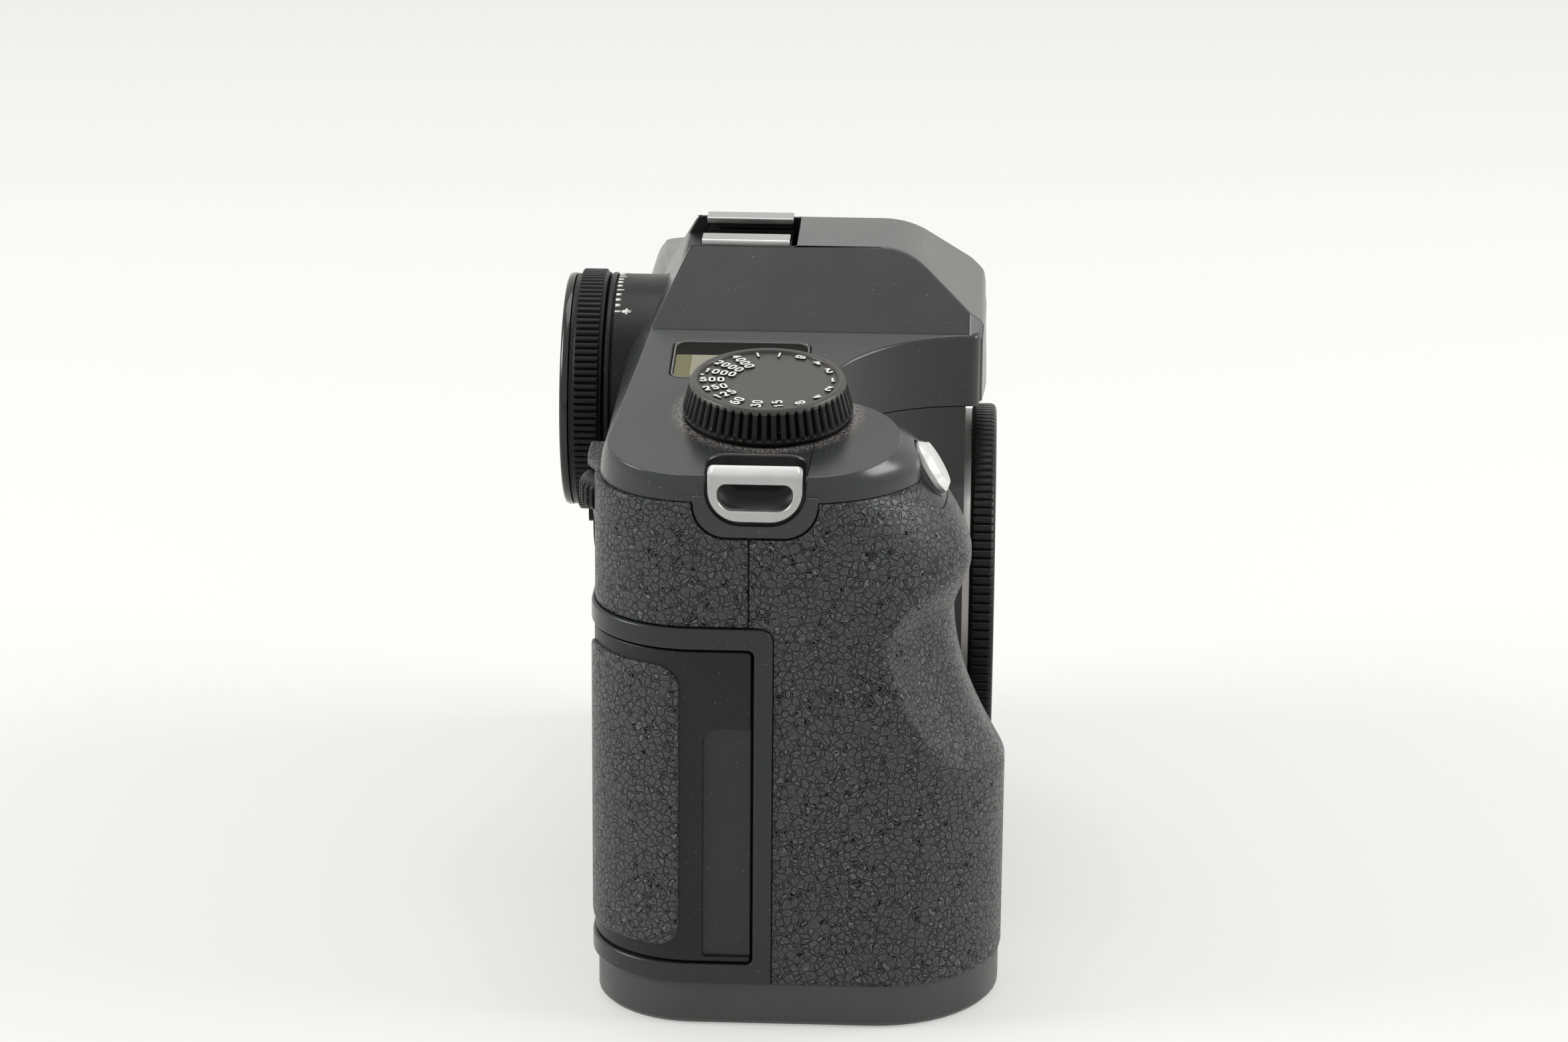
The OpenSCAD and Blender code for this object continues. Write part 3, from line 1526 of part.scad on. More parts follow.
module strap_lug_right() { strap_lug(-1, grip_reach, lug_y); }
module strap_lug_left() { strap_lug(1, left_reach, left_lug_y); }

module thumb_wheel() {
    color("#141415")
    translate([wheel_x, wheel_y, wheel_h - wheel_t / 2])
        difference() {
            union() {
                translate([0, 0, 0.5])
                    linear_extrude(wheel_t - 1)
                        polygon(ribbed(wheel_d / 2, 0.7, 28));
                cylinder(r = wheel_d / 2 - 0.8, h = wheel_t);
            }
            translate([0, 0, -over])
                cylinder(r = wheel_shaft_r + 0.02, h = wheel_t + 2 * over);
        }
}

module thumb_wheel_shaft() {
    color("#a8a8a8")
    translate([wheel_x, wheel_y, wheel_h - wheel_t / 2 - wheel_shaft_end + edge_gap])
        cylinder(r = wheel_shaft_r,
            h = split_h + wheel_shaft_seat - wheel_h + wheel_t / 2 + wheel_shaft_end - 2 * edge_gap);
}

// Plungers on the front: a cap in a shallow seat on a stem
module front_plunger(x, y, z, r, stem_r, stem_len) {
    facing_front(x, y, z)
        rotate_extrude()
            polygon([
                [0, -stem_len], [stem_r, -stem_len], [stem_r, 0], [r, 0], [r, 2.6], [r - 0.6, 3.2], [0, 3.2]
            ]);
}

module lens_release_button() {
    color("#1a1a1b")
    front_plunger(lens_release_x, 0.4 - body_front, lens_release_h, lens_release_r, plunger_r, 3);
}

module stop_down_button() {
    color("#1a1a1b")
    front_plunger(stop_down_x, 0.4 - body_front, stop_down_h, stop_down_r, plunger_r - 0.6, 4);
}

// Socket block behind the port covers
module port_block() {
    color("#2e2e30")
    difference() {
        block(left_room_x1 - 8, port_y0 + 2.2, port_floor[1] + 2.2, left_room_x1 + 5, port_y1 - 2.2,
            port_floor[0] + port_h - 2.2);
        block(left_room_x1, port_y0, port_floor[1] + port_h - 2.4, left_room_x1 + 7, port_y1,
            port_floor[0] + 2.4);
        for (z = [port_floor[1] + 6, port_floor[1] + 16, port_floor[0] + 6])
            block(left_room_x1 - 3, port_y0 + 3.4, z, left_room_x1 + 7, port_y1 - 3.4, z + 5);
        translate([left_room_x1 - 3, (port_y0 + port_y1) / 2, port_floor[0] + 19])
            rotate([0, 90, 0])
                cylinder(r = 3, h = 10);
    }
}

// Rubber flap that swings about its round front edge
module port_cover(z) {
    color("#19191a")
    union() {
        block(left_reach - port_t, port_y0 + port_t / 2, z, left_reach, port_y1, z + port_h);
        translate([left_reach - port_t / 2, port_y0 + port_t / 2, z])
            cylinder(d = port_t, h = port_h);
        block(left_reach - 0.2, port_y1 - 2.5, z + port_h / 2 - 4, left_reach + 0.4, port_y1 - 1,
            z + port_h / 2 + 4);
    }
}

module port_cover_upper() { port_cover(port_floor[0]); }
module port_cover_lower() { port_cover(port_floor[1]); }

base_plate();
front_shell();
rear_cover();
top_cover();
grip_cover();
rear_grip_cover();
left_cover();
card_door_frame();
card_door();
card_door_leatherette();
door_hinge_carrier();
door_hinge_pin();
card_slot();
battery();
battery_lock();
tripod_socket();
tripod_socket_large();
base_screws();
lens_mount();
mount_screws();
body_cap();
mirror_box();
mirror_pin();
mirror_holder();
reflex_mirror();
focusing_screen();
pentaprism();
shutter_unit();
image_sensor();
main_board();
eyepiece_barrel();
dioptre_ring();
eyepiece_rim();
eyepiece_lens();
hot_shoe();
hot_shoe_contacts();
shutter_dial();
dial_shaft();
top_display_glass();
top_display_panel();
release_button();
strap_lug_right();
strap_lug_left();
thumb_wheel();
thumb_wheel_shaft();
main_switch();
rear_display_glass();
rear_display_panel();
rear_button_upper_left();
rear_button_lower_left();
rear_button_upper_right();
rear_button_lower_right();
lens_release_button();
stop_down_button();
battery_box();
mount_barrel();
port_block();
port_cover_upper();
port_cover_lower();
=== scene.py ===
"""Looks of a medium format camera body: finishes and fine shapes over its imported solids."""
import json
import math

import bmesh
import bpy
from mathutils import Matrix, Vector

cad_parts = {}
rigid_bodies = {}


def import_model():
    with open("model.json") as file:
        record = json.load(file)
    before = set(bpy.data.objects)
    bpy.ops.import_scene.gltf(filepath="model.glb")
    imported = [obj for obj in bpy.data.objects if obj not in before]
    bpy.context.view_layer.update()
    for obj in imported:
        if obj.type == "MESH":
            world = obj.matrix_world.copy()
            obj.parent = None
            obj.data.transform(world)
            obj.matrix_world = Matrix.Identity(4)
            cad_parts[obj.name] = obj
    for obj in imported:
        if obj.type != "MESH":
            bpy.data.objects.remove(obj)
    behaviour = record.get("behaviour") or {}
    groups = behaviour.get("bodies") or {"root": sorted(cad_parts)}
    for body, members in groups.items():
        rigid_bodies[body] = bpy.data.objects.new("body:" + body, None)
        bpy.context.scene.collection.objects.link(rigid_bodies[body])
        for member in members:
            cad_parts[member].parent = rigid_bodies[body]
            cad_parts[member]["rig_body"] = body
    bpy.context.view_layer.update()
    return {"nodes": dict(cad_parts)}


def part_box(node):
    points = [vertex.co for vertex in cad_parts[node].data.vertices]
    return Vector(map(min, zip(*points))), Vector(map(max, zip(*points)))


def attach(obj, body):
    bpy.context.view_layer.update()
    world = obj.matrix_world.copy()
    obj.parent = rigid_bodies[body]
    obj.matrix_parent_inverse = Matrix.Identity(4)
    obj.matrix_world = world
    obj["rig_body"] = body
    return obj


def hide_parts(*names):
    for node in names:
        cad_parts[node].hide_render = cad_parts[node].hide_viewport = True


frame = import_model()

MM = 0.001
CAMERA_BODY = "camera"

# Sizes shared with the part's source, in millimetres
GRIP_REACH = 84.6
LEFT_REACH = 75.0
BACK_REACH = 33.0
BODY_FRONT = 4.0
AXIS_H = 50.0
BASE_H = 7.9
SPLIT_H = 93.6
REAR_CORNER = 17.0
GRIP_FOOT = 36.5
GROOVE_REACH = 27.7
BULGE_REACH = 30.5
GRIP_TOP_REACH = 22.8
FLARE_H = 42.0
GROOVE_H = 69.5
BULGE_H = 78.7
GRIP_INNER = 47.0
GRIP_CORNER = 22.0
GRIP_INNER_CORNER = 12.0
COVER_PROUD = 0.4
COVER_T = 2.0
SEAM_Y = 6.4
FRAME_H = 71.8
FRAME_Y = 2.3
EDGE_GAP = 0.15
SHOULDER_TILT = math.radians(8.2)
SHOULDER_H = 98.0
PLATE_INSET = 1.2
POD_SLOPE = math.radians(58.8)
EYE_H = 88.8

# Fittings, in millimetres: a spot lies across and along the sloped plate, a lug has side, reach and depth
FRAME_END_X = -57.3
HINGE_X = -63.5
POD_X = -63.0
POD_Y = -GRIP_TOP_REACH - 0.2
POD_H = SPLIT_H + 0.4
EYE_R = 21.2
LUG_FLOOR_H = 90.6
ROOF_H = 119.2
SHOE_FLOOR_H = 115.8
CAP_Y = -30.22
DIAL_R = 14.5
DIAL_SPOT = (58.1, 4.6)
DISPLAY_SPOT = (36, 10.4)
RIGHT_LUG = (-1, GRIP_REACH, 5.5)
LEFT_LUG = (1, LEFT_REACH, 13.5)


# Outlines

def quarter(steps):
    """Angles from 0 to 90 degrees, in radians."""
    return [math.pi / 2 * i / steps for i in range(steps + 1)]


def circle(radius, count=72, centre=(0, 0)):
    turns = [2 * math.pi * i / count for i in range(count)]
    return [Vector(centre) + radius * Vector((math.cos(t), math.sin(t))) for t in turns]


def fillet(a, b, c, radius, steps):
    """Points that round corner b of an outline between its neighbours a and c."""
    if radius <= 0:
        return [b]
    u = (a - b).normalized()
    v = (c - b).normalized()
    half = u.angle(v) / 2
    middle = b + (u + v).normalized() * radius / math.sin(half)
    start = b + u * radius / math.tan(half) - middle
    end = b + v * radius / math.tan(half) - middle
    first = math.atan2(start.y, start.x)
    sweep = (math.atan2(end.y, end.x) - first + 3 * math.pi) % (2 * math.pi) - math.pi
    turns = [first + sweep * i / steps for i in range(steps + 1)]
    return [middle + radius * Vector((math.cos(t), math.sin(t))) for t in turns]


def rounded(corners, steps=8, closed=True):
    """Outline from corners given as (x, y, radius); an open path keeps its two ends sharp."""
    flat = [Vector(c[:2]) for c in corners]
    count = len(corners)
    outline = []
    for i, corner in enumerate(corners):
        at_end = not closed and i in (0, count - 1)
        radius = 0 if at_end else corner[2]
        outline += fillet(flat[i - 1], flat[i], flat[(i + 1) % count], radius, steps)
    return outline


def box_corners(x0, y0, x1, y1, *radii):
    """Corners of a box, counter-clockwise from its low end, with one radius for all four or one for each."""
    radii = radii * 4 if len(radii) == 1 else radii
    return [(x, y, r) for (x, y), r in zip(((x0, y0), (x1, y0), (x1, y1), (x0, y1)), radii)]


def shrunk(corners, inset):
    """Corner list of a simple outline moved inwards; corners run counter-clockwise."""
    flat = [Vector(c[:2]) for c in corners]
    count = len(flat)
    moved = []
    for i, corner in enumerate(corners):
        before = (flat[i] - flat[i - 1]).normalized()
        after = (flat[(i + 1) % count] - flat[i]).normalized()
        shift = inset / max(0.05, 1 + before.dot(after))
        spot = flat[i] + shift * (Vector((-before.y, before.x)) + Vector((-after.y, after.x)))
        convex = before.x * after.y - before.y * after.x > 0
        radius = corner[2] - inset if convex else corner[2] + inset
        moved.append((spot.x, spot.y, max(0.02, radius) if corner[2] > 0 or not convex else 0))
    return moved


def ease(t):
    t = min(1.0, max(0.0, t))
    return t * t * (3 - 2 * t)


# Frames that pieces stand in

def at(x, y, z):
    return Matrix.Translation((x, y, z))


def facing_front(x, y, z):
    return at(x, y, z) @ Matrix.Rotation(math.radians(90), 4, "X")


def facing_back(x, y, z):
    return at(x, y, z) @ Matrix.Rotation(math.radians(-90), 4, "X")


def outward(side, reach):
    """Frame of a side wall: local X along Y, local Y up, local Z out of the wall."""
    return Matrix(((0, 0, side, side * reach), (1, 0, 0, 0), (0, 1, 0, 0), (0, 0, 0, 1)))


def plate_h(x):
    """Height of the sloped shoulder plate at a distance x from the optical axis."""
    return SHOULDER_H + math.tan(SHOULDER_TILT) * (GRIP_REACH - PLATE_INSET - abs(x))


def on_plate(x, y):
    return at(-x, y, plate_h(x)) @ Matrix.Rotation(-SHOULDER_TILT, 4, "Y")


def on_pod():
    return at(POD_X, POD_Y, POD_H) @ Matrix.Rotation(POD_SLOPE, 4, "X")


# Meshes

def body_of(node):
    return frame["nodes"][node]["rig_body"]


def placed(bm, place):
    bmesh.ops.transform(bm, matrix=place, verts=bm.verts)
    return bm


def linked(name, bm, finishes=()):
    """Object from a bmesh drawn in millimetres."""
    bmesh.ops.scale(bm, vec=(MM, MM, MM), verts=bm.verts)
    bmesh.ops.recalc_face_normals(bm, faces=bm.faces)
    mesh = bpy.data.meshes.new(name)
    bm.to_mesh(mesh)
    bm.free()
    for finish in finishes:
        mesh.materials.append(finish)
    mesh.shade_smooth()
    piece = bpy.data.objects.new(name, mesh)
    bpy.context.scene.collection.objects.link(piece)
    return piece


def fitted(piece, body=CAMERA_BODY):
    """Sets a piece on its body; one named NODE.detail stands for that node and rides where the node does."""
    node, _, detail = piece.name.partition(".")
    if detail:
        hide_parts(node)
        body = body_of(node)
    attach(piece, body)
    return piece


def shape(name, bm, *finishes, body=CAMERA_BODY, slot=None, place=None, sharp=None):
    """A finished piece; sharp is the angle from which its edges stay sharp, beside flat faces."""
    if place is not None:
        placed(bm, place)
    piece = fitted(linked(name, bm, finishes), body)
    if sharp:
        keep_flats_flat(piece, sharp)
    return piece


def keep_flats_flat(piece, sharp=None):
    """Weighted normals, so that flat faces stay flat beside their rounded edges."""
    if sharp:
        piece.data.set_sharp_from_angle(angle=math.radians(sharp))
    modifier = piece.modifiers.new("flat faces", "WEIGHTED_NORMAL")
    modifier.keep_sharp = bool(sharp)


def softened(node, width, finish):
    """A copy that stands for a CAD node, its edges broken by width; width 0 only shades its curves smooth."""
    crisp_angle, level_angle = 28, 0.6
    bm = bmesh.new()
    bm.from_mesh(frame["nodes"][node].data)
    bmesh.ops.remove_doubles(bm, verts=bm.verts, dist=2e-6)
    bmesh.ops.dissolve_limit(bm, angle_limit=math.radians(level_angle), verts=bm.verts, edges=bm.edges)
    bmesh.ops.scale(bm, vec=(1 / MM, 1 / MM, 1 / MM), verts=bm.verts)
    if width:
        crisp = [e for e in bm.edges
                 if len(e.link_faces) == 2 and e.calc_face_angle(0) > math.radians(crisp_angle)]
        bmesh.ops.bevel(bm, geom=crisp, offset=width, segments=2, profile=0.5, affect="EDGES",
                        clamp_overlap=False)
    keep_flats_flat(shape(node + ".soft", bm, finish), None if width else crisp_angle)


def groove_depth(phase, cut):
    """Depth of a rounded groove over one pitch: 1 at its floor, 0 on the land."""
    away = abs(phase - 0.5) / (cut / 2)
    return 0.0 if away >= 1 else 0.5 + 0.5 * math.cos(math.pi * away)


def turned(name, profile, place, *finishes, ribs=None, segments=160, slot=None, sharp=40):
    """A turned piece from (radius, height) points, where a third number is the share of the ribs' depth.

    ribs is (count, depth, share of the pitch cut away).
    """
    bm = bmesh.new()
    if ribs:
        rib_count, rib_depth, rib_cut = ribs
        segments = rib_count * 10
    rings = []
    for radius, height, *share in profile:
        if radius == 0:
            rings.append([bm.verts.new((0, 0, height))])
            continue
        ring = []
        for i in range(segments):
            turn = 2 * math.pi * i / segments
            r = radius
            if share:
                r -= share[0] * rib_depth * groove_depth(rib_count * i / segments % 1, rib_cut)
            ring.append(bm.verts.new((r * math.cos(turn), r * math.sin(turn), height)))
        rings.append(ring)
    pairs = list(zip(rings, rings[1:]))
    if profile[0][0] and profile[-1][0]:
        pairs.append((rings[-1], rings[0]))
    for low, high in pairs:
        for i in range(segments):
            j = (i + 1) % segments
            corners = [low[i % len(low)], low[j % len(low)], high[j % len(high)], high[i % len(high)]]
            bm.faces.new(list(dict.fromkeys(corners)))
    return shape(name, bm, *finishes, slot=slot, place=place, sharp=sharp)


def finish_by_height(piece, place, second):
    """Gives the second finish to the faces whose height in the piece's own frame asks for it."""
    for face in piece.data.polygons:
        face.material_index = int(second((place.inverted() @ (face.center / MM)).z))


def dome(radius, top, edge):
    """Profile points that round the upper edge of a disc."""
    return [(radius - edge * (1 - math.cos(t)), top - edge * (1 - math.sin(t))) for t in quarter(5)]


def add_wall(bm, low, high):
    """Quads between two closed loops of vertices."""
    for i in range(len(low)):
        j = (i + 1) % len(low)
        bm.faces.new((low[i], low[j], high[j], high[i]))


def add_prism(bm, outline, low, high):
    loops = [[bm.verts.new((p.x, p.y, h)) for p in outline] for h in (low, high)]
    add_wall(bm, *loops)
    for loop in loops:
        bm.faces.new(loop)
    return bm


def prism_between(outline, low, high, place):
    """Straight prism over a flat outline, in the given frame."""
    return placed(add_prism(bmesh.new(), outline, low, high), place)


def sheet_shell(outside, inside):
    """Closed shell between two grids of points, given as rows."""
    bm = bmesh.new()
    rims = []
    for rows in (outside, inside):
        grid = [[bm.verts.new(p) for p in row] for row in rows]
        for low, high in zip(grid, grid[1:]):
            for i in range(len(low) - 1):
                bm.faces.new((low[i], low[i + 1], high[i + 1], high[i]))
        right, left = [row[-1] for row in grid], [row[0] for row in grid]
        rims.append(grid[0] + right[1:] + grid[-1][-2::-1] + left[-2:0:-1])
    add_wall(bm, *rims)
    return bm


def layered_plate(corners, low, high, edge, hole=None, steps=6, edge_steps=3, bm=None):
    """Prism over (x, y, radius) corners from depth low to high, its upper edge rounded by edge."""
    bm = bmesh.new() if bm is None else bm
    levels = [(0, low), (0, high - edge)]
    levels += [(edge * (1 - math.cos(t)), high - edge * (1 - math.sin(t))) for t in quarter(edge_steps)[1:]]

    def loops(outline, sign):
        made = []
        for inset, depth in levels:
            flat = rounded(shrunk(outline, sign * inset), steps)
            made.append([bm.verts.new((p.x, p.y, depth)) for p in flat])
        for a, b in zip(made, made[1:]):
            add_wall(bm, a, b)
        return made

    outer = loops(corners, 1)
    if hole:
        inner = loops(hole, -1)
        add_wall(bm, outer[-1], inner[-1])
        add_wall(bm, outer[0], inner[0])
    else:
        bm.faces.new(outer[-1])
        bm.faces.new(outer[0])
    return bm


# Joining and cutting

def drop_slivers(bm):
    """Joins points that a boolean step left apart, and removes the flaps that hang on one edge."""
    bmesh.ops.remove_doubles(bm, verts=bm.verts, dist=2e-6)
    flaps = [f for f in bm.faces if all(len(e.link_faces) != 2 for e in f.edges)]
    bmesh.ops.delete(bm, geom=flaps, context="FACES")


def ease_rims(bm, width):
    """Rounds the edges where pocket faces meet the outside."""
    rims = [e for e in bm.edges if len(e.link_faces) == 2 and e.calc_face_angle(0) > math.radians(25)
            and {f.material_index for f in e.link_faces} == {0, 1}]
    bmesh.ops.bevel(bm, geom=rims, offset=width * MM, segments=3, profile=0.5, affect="EDGES",
                    clamp_overlap=False, material=0)


def formed(piece, steps, rim=0.0):
    """Joins and cuts a piece for good by (operation, helper) steps; rim rounds the rims of its pockets."""
    for operation, helper in steps:
        modifier = piece.modifiers.new("form", "BOOLEAN")
        modifier.operation = operation
        modifier.solver = "EXACT"
        modifier.object = helper
    mesh = bpy.data.meshes.new_from_object(piece.evaluated_get(bpy.context.evaluated_depsgraph_get()))
    piece.modifiers.clear()
    bm = bmesh.new()
    bm.from_mesh(mesh)
    drop_slivers(bm)
    if rim:
        ease_rims(bm, rim)
        drop_slivers(bm)
    bm.to_mesh(mesh)
    bm.free()
    piece.data = mesh
    mesh.shade_smooth()
    for _, helper in steps:
        bpy.data.objects.remove(helper)


def cut_away(bm, spot, normal):
    """Removes what lies beyond a plane and closes the cut."""
    cut = bmesh.ops.bisect_plane(bm, geom=bm.verts[:] + bm.edges[:] + bm.faces[:], dist=1e-5,
                                 plane_co=spot, plane_no=normal, clear_outer=True)
    edges = [e for e in cut["geom_cut"] if isinstance(e, bmesh.types.BMEdge)]
    if edges:
        bmesh.ops.edgeloop_fill(bm, edges=edges)


# Skin pieces are drawn flat, as distance along the skin, height and depth, then wrapped round the grip end

SIDE_END = BACK_REACH - REAR_CORNER
CORNER_RUN = REAR_CORNER * math.pi / 2


def along_side(y):
    return y - SIDE_END


def along_back(x):
    return CORNER_RUN + x + GRIP_REACH - REAR_CORNER


def wrapped(s, g):
    """Plan position of a point at distance s along the skin and depth g above it."""
    if s <= 0:
        return -GRIP_REACH - g, SIDE_END + s
    if s < CORNER_RUN:
        turn = math.pi - s / REAR_CORNER
        return (-GRIP_REACH + REAR_CORNER + (REAR_CORNER + g) * math.cos(turn),
                SIDE_END + (REAR_CORNER + g) * math.sin(turn))
    return -GRIP_REACH + REAR_CORNER + s - CORNER_RUN, BACK_REACH + g


def wrap_skin(bm, step=1.0):
    """Cuts a flat skin piece into strips and lays it round the grip end."""
    low = min(v.co.x for v in bm.verts)
    high = max(v.co.x for v in bm.verts)
    cut = max(0.0, math.ceil(low / step) * step)
    while cut < min(high, CORNER_RUN + step):
        bmesh.ops.bisect_plane(bm, geom=bm.verts[:] + bm.edges[:] + bm.faces[:], dist=1e-5,
                               plane_co=(min(cut, CORNER_RUN), 0, 0), plane_no=(1, 0, 0))
        cut += step
    for v in bm.verts:
        x, y = wrapped(v.co.x, v.co.z)
        v.co = (x, y, v.co.y)


# Nodes of the finishes

def feed(tree, value, socket):
    """Sets a socket to a value, or links another socket to it."""
    if isinstance(value, bpy.types.NodeSocket):
        tree.links.new(value, socket)
    else:
        socket.default_value = value


def new_finish(name):
    material = bpy.data.materials.new(name)
    material.use_nodes = True
    return material, material.node_tree, material.node_tree.nodes["Principled BSDF"].inputs


def group(name, inputs, outputs):
    """An empty shader node group with float inputs given as (name, default) and float outputs."""
    tree = bpy.data.node_groups.new(name, "ShaderNodeTree")
    for label, value in inputs:
        tree.interface.new_socket(label, in_out="INPUT", socket_type="NodeSocketFloat").default_value = value
    for label in outputs:
        tree.interface.new_socket(label, in_out="OUTPUT", socket_type="NodeSocketFloat")
    return tree, tree.nodes.new("NodeGroupInput").outputs, tree.nodes.new("NodeGroupOutput").inputs


def effect(tree, shared):
    """Places a shared node group in a finish."""
    node = tree.nodes.new("ShaderNodeGroup")
    node.node_tree = shared
    return node


def math_node(tree, operation, a, b):
    node = tree.nodes.new("ShaderNodeMath")
    node.operation = operation
    feed(tree, a, node.inputs[0])
    feed(tree, b, node.inputs[1])
    return node.outputs[0]


def times(tree, a, b):
    return math_node(tree, "MULTIPLY", a, b)


def vector_node(tree, operation, *values):
    node = tree.nodes.new("ShaderNodeVectorMath")
    node.operation = operation
    for value, socket in zip(values, node.inputs):
        feed(tree, value, socket)
    return node.outputs


def object_spot(tree):
    return tree.nodes.new("ShaderNodeTexCoord").outputs["Object"]


def band(tree, value, low, high, out_low=0.0, out_high=1.0):
    """Smooth ramp of a value from one range to another."""
    node = tree.nodes.new("ShaderNodeMapRange")
    node.interpolation_type = "SMOOTHSTEP"
    tree.links.new(value, node.inputs["Value"])
    for label, number in (("From Min", low), ("From Max", high), ("To Min", out_low), ("To Max", out_high)):
        node.inputs[label].default_value = number
    return node.outputs["Result"]


def noise(tree, spot, scale, detail, rough):
    node = tree.nodes.new("ShaderNodeTexNoise")
    for label, value in (("Vector", spot), ("Scale", scale), ("Detail", detail), ("Roughness", rough)):
        feed(tree, value, node.inputs[label])
    return node.outputs


def bump(tree, height, strength, distance_mm):
    node = tree.nodes.new("ShaderNodeBump")
    node.inputs["Strength"].default_value = strength
    node.inputs["Distance"].default_value = distance_mm * MM
    tree.links.new(height, node.inputs["Height"])
    return node.outputs["Normal"]


def blend_colours(tree, share, a, b):
    node = tree.nodes.new("ShaderNodeMix")
    node.data_type = "RGBA"
    tree.links.new(share, node.inputs["Factor"])
    for label, value in (("A", a), ("B", b)):
        socket = [s for s in node.inputs if s.name == label and s.type == "RGBA"][0]
        feed(tree, (*value, 1.0) if isinstance(value, tuple) else value, socket)
    return [s for s in node.outputs if s.type == "RGBA"][0]


def make_tooth_group():
    """Fine tooth of lacquer or moulded plastic, slow mottling, and a little dust."""
    tree, given, made = group("surface_tooth", [("Grain per m", 4000.0)], ["Height", "Mottle", "Dust"])
    spot = object_spot(tree)
    grain = noise(tree, spot, scale=given["Grain per m"], detail=2.0, rough=0.6)["Fac"]
    slow = noise(tree, spot, scale=60.0, detail=4.0, rough=0.55)["Fac"]
    flecks = noise(tree, spot, scale=2600.0, detail=1.0, rough=0.5)["Fac"]
    tree.links.new(grain, made["Height"])
    tree.links.new(band(tree, slow, 0.3, 0.7), made["Mottle"])
    tree.links.new(band(tree, flecks, 0.74, 0.8), made["Dust"])
    return tree


def make_pebble_group():
    """Grained leatherette: raised islands with a pit, on level ground, with a painted highlight on their rims
    and painted shade at their feet and in the pits.
    """
    tree, given, made = group("pebble_grain", [("Islands per m", 700.0)], ["Height", "Rim", "Foot", "Tone"])
    spot = object_spot(tree)
    bend = 0.9 * MM
    warp = noise(tree, spot, scale=780.0, detail=2.0, rough=0.55)["Color"]
    bent = vector_node(tree, "MULTIPLY_ADD", warp, (bend, bend, bend), spot)["Vector"]
    cells, centres = (tree.nodes.new("ShaderNodeTexVoronoi") for _ in range(2))
    cells.feature = "DISTANCE_TO_EDGE"
    for node in (cells, centres):
        tree.links.new(bent, node.inputs["Vector"])
        tree.links.new(given["Islands per m"], node.inputs["Scale"])
    edge = cells.outputs["Distance"]
    patches = noise(tree, spot, scale=500.0, detail=1.0, rough=0.5)["Fac"]
    joined = band(tree, patches, 0.32, 0.44, 0.6, 1.0)
    raised = band(tree, edge, 0.1, 0.17)
    # Rim: thin band just inside each island's edge, where the painted highlight goes.
    rim = times(tree, band(tree, edge, 0.12, 0.155), band(tree, edge, 0.16, 0.22, 1.0, 0.0))
    # Foot: ring at each island's foot, where painted shade goes.
    foot = times(tree, band(tree, edge, 0.02, 0.07), band(tree, edge, 0.085, 0.125, 1.0, 0.0))
    pit = band(tree, centres.outputs["Distance"], 0.07, 0.15, 1.0, 0.0)
    grain = noise(tree, spot, scale=4200.0, detail=2.0, rough=0.6)["Fac"]
    tone = noise(tree, spot, scale=90.0, detail=3.0, rough=0.5)["Fac"]
    island = times(tree, math_node(tree, "SUBTRACT", raised, times(tree, pit, 0.5)), joined)
    # Painted shade: the feet and, a little less dark, the pits.
    dark = math_node(tree, "MAXIMUM", foot, times(tree, pit, 0.7))
    tree.links.new(math_node(tree, "ADD", island, times(tree, grain, 0.15)), made["Height"])
    tree.links.new(times(tree, rim, joined), made["Rim"])
    tree.links.new(times(tree, dark, joined), made["Foot"])
    tree.links.new(tone, made["Tone"])
    return tree


TOOTH = make_tooth_group()
PEBBLE = make_pebble_group()


# Finishes

DUST = (0.45, 0.44, 0.42)
FLUFF = (0.30, 0.29, 0.265)


def toothed(name, dark, light, rough, spread=0.06, grain=4000.0, relief=0.03, metal=0.0, dust=0.0,
            specular=0.5):
    """A finish with fine tooth: colour between two tones, roughness round a value, and a little dust."""
    material, tree, shader = new_finish(name)
    tooth = effect(tree, TOOTH)
    tooth.inputs["Grain per m"].default_value = grain
    mottle = tooth.outputs["Mottle"]
    colour = blend_colours(tree, mottle, dark, light)
    if dust:
        colour = blend_colours(tree, times(tree, tooth.outputs["Dust"], dust), colour, DUST)
    tree.links.new(colour, shader["Base Color"])
    tree.links.new(band(tree, mottle, 0.0, 1.0, rough - spread, rough + spread), shader["Roughness"])
    if relief:
        tree.links.new(bump(tree, tooth.outputs["Height"], strength=0.6, distance_mm=relief), shader["Normal"])
    shader["Metallic"].default_value = metal
    shader["Specular IOR Level"].default_value = specular
    return material


def leatherette(name):
    """Pebbled finish: grey ground, a painted highlight on the islands' rims, and painted shade at their feet,
    where a dark metal takes away the reflection.
    """
    ground_dark, ground_light = (0.041, 0.0416, 0.0422), (0.056, 0.0567, 0.0574)
    # Painted highlight for the islands' rims, then painted shade for their feet.
    rim_highlight, foot_shade = (0.15, 0.151, 0.152), (0.004, 0.0041, 0.0043)
    material, tree, shader = new_finish(name)
    grain = effect(tree, PEBBLE)
    grain.inputs["Islands per m"].default_value = 780.0
    foot = grain.outputs["Foot"]
    ground = blend_colours(tree, grain.outputs["Tone"], ground_dark, ground_light)
    # The rims take the painted highlight.
    highlighted = blend_colours(tree, grain.outputs["Rim"], ground, rim_highlight)
    # The feet and pits take painted shade.
    tree.links.new(blend_colours(tree, foot, highlighted, foot_shade), shader["Base Color"])
    tree.links.new(band(tree, foot, 0.0, 1.0, 0.34, 0.6), shader["Roughness"])
    # Painted shade: metal with the dark colour takes the reflection out of the feet and pits.
    tree.links.new(band(tree, foot, 0.1, 1.0, 0.0, 0.9), shader["Metallic"])
    tree.links.new(bump(tree, grain.outputs["Height"], strength=1.0, distance_mm=0.2), shader["Normal"])
    shader["Specular IOR Level"].default_value = 0.3
    return material


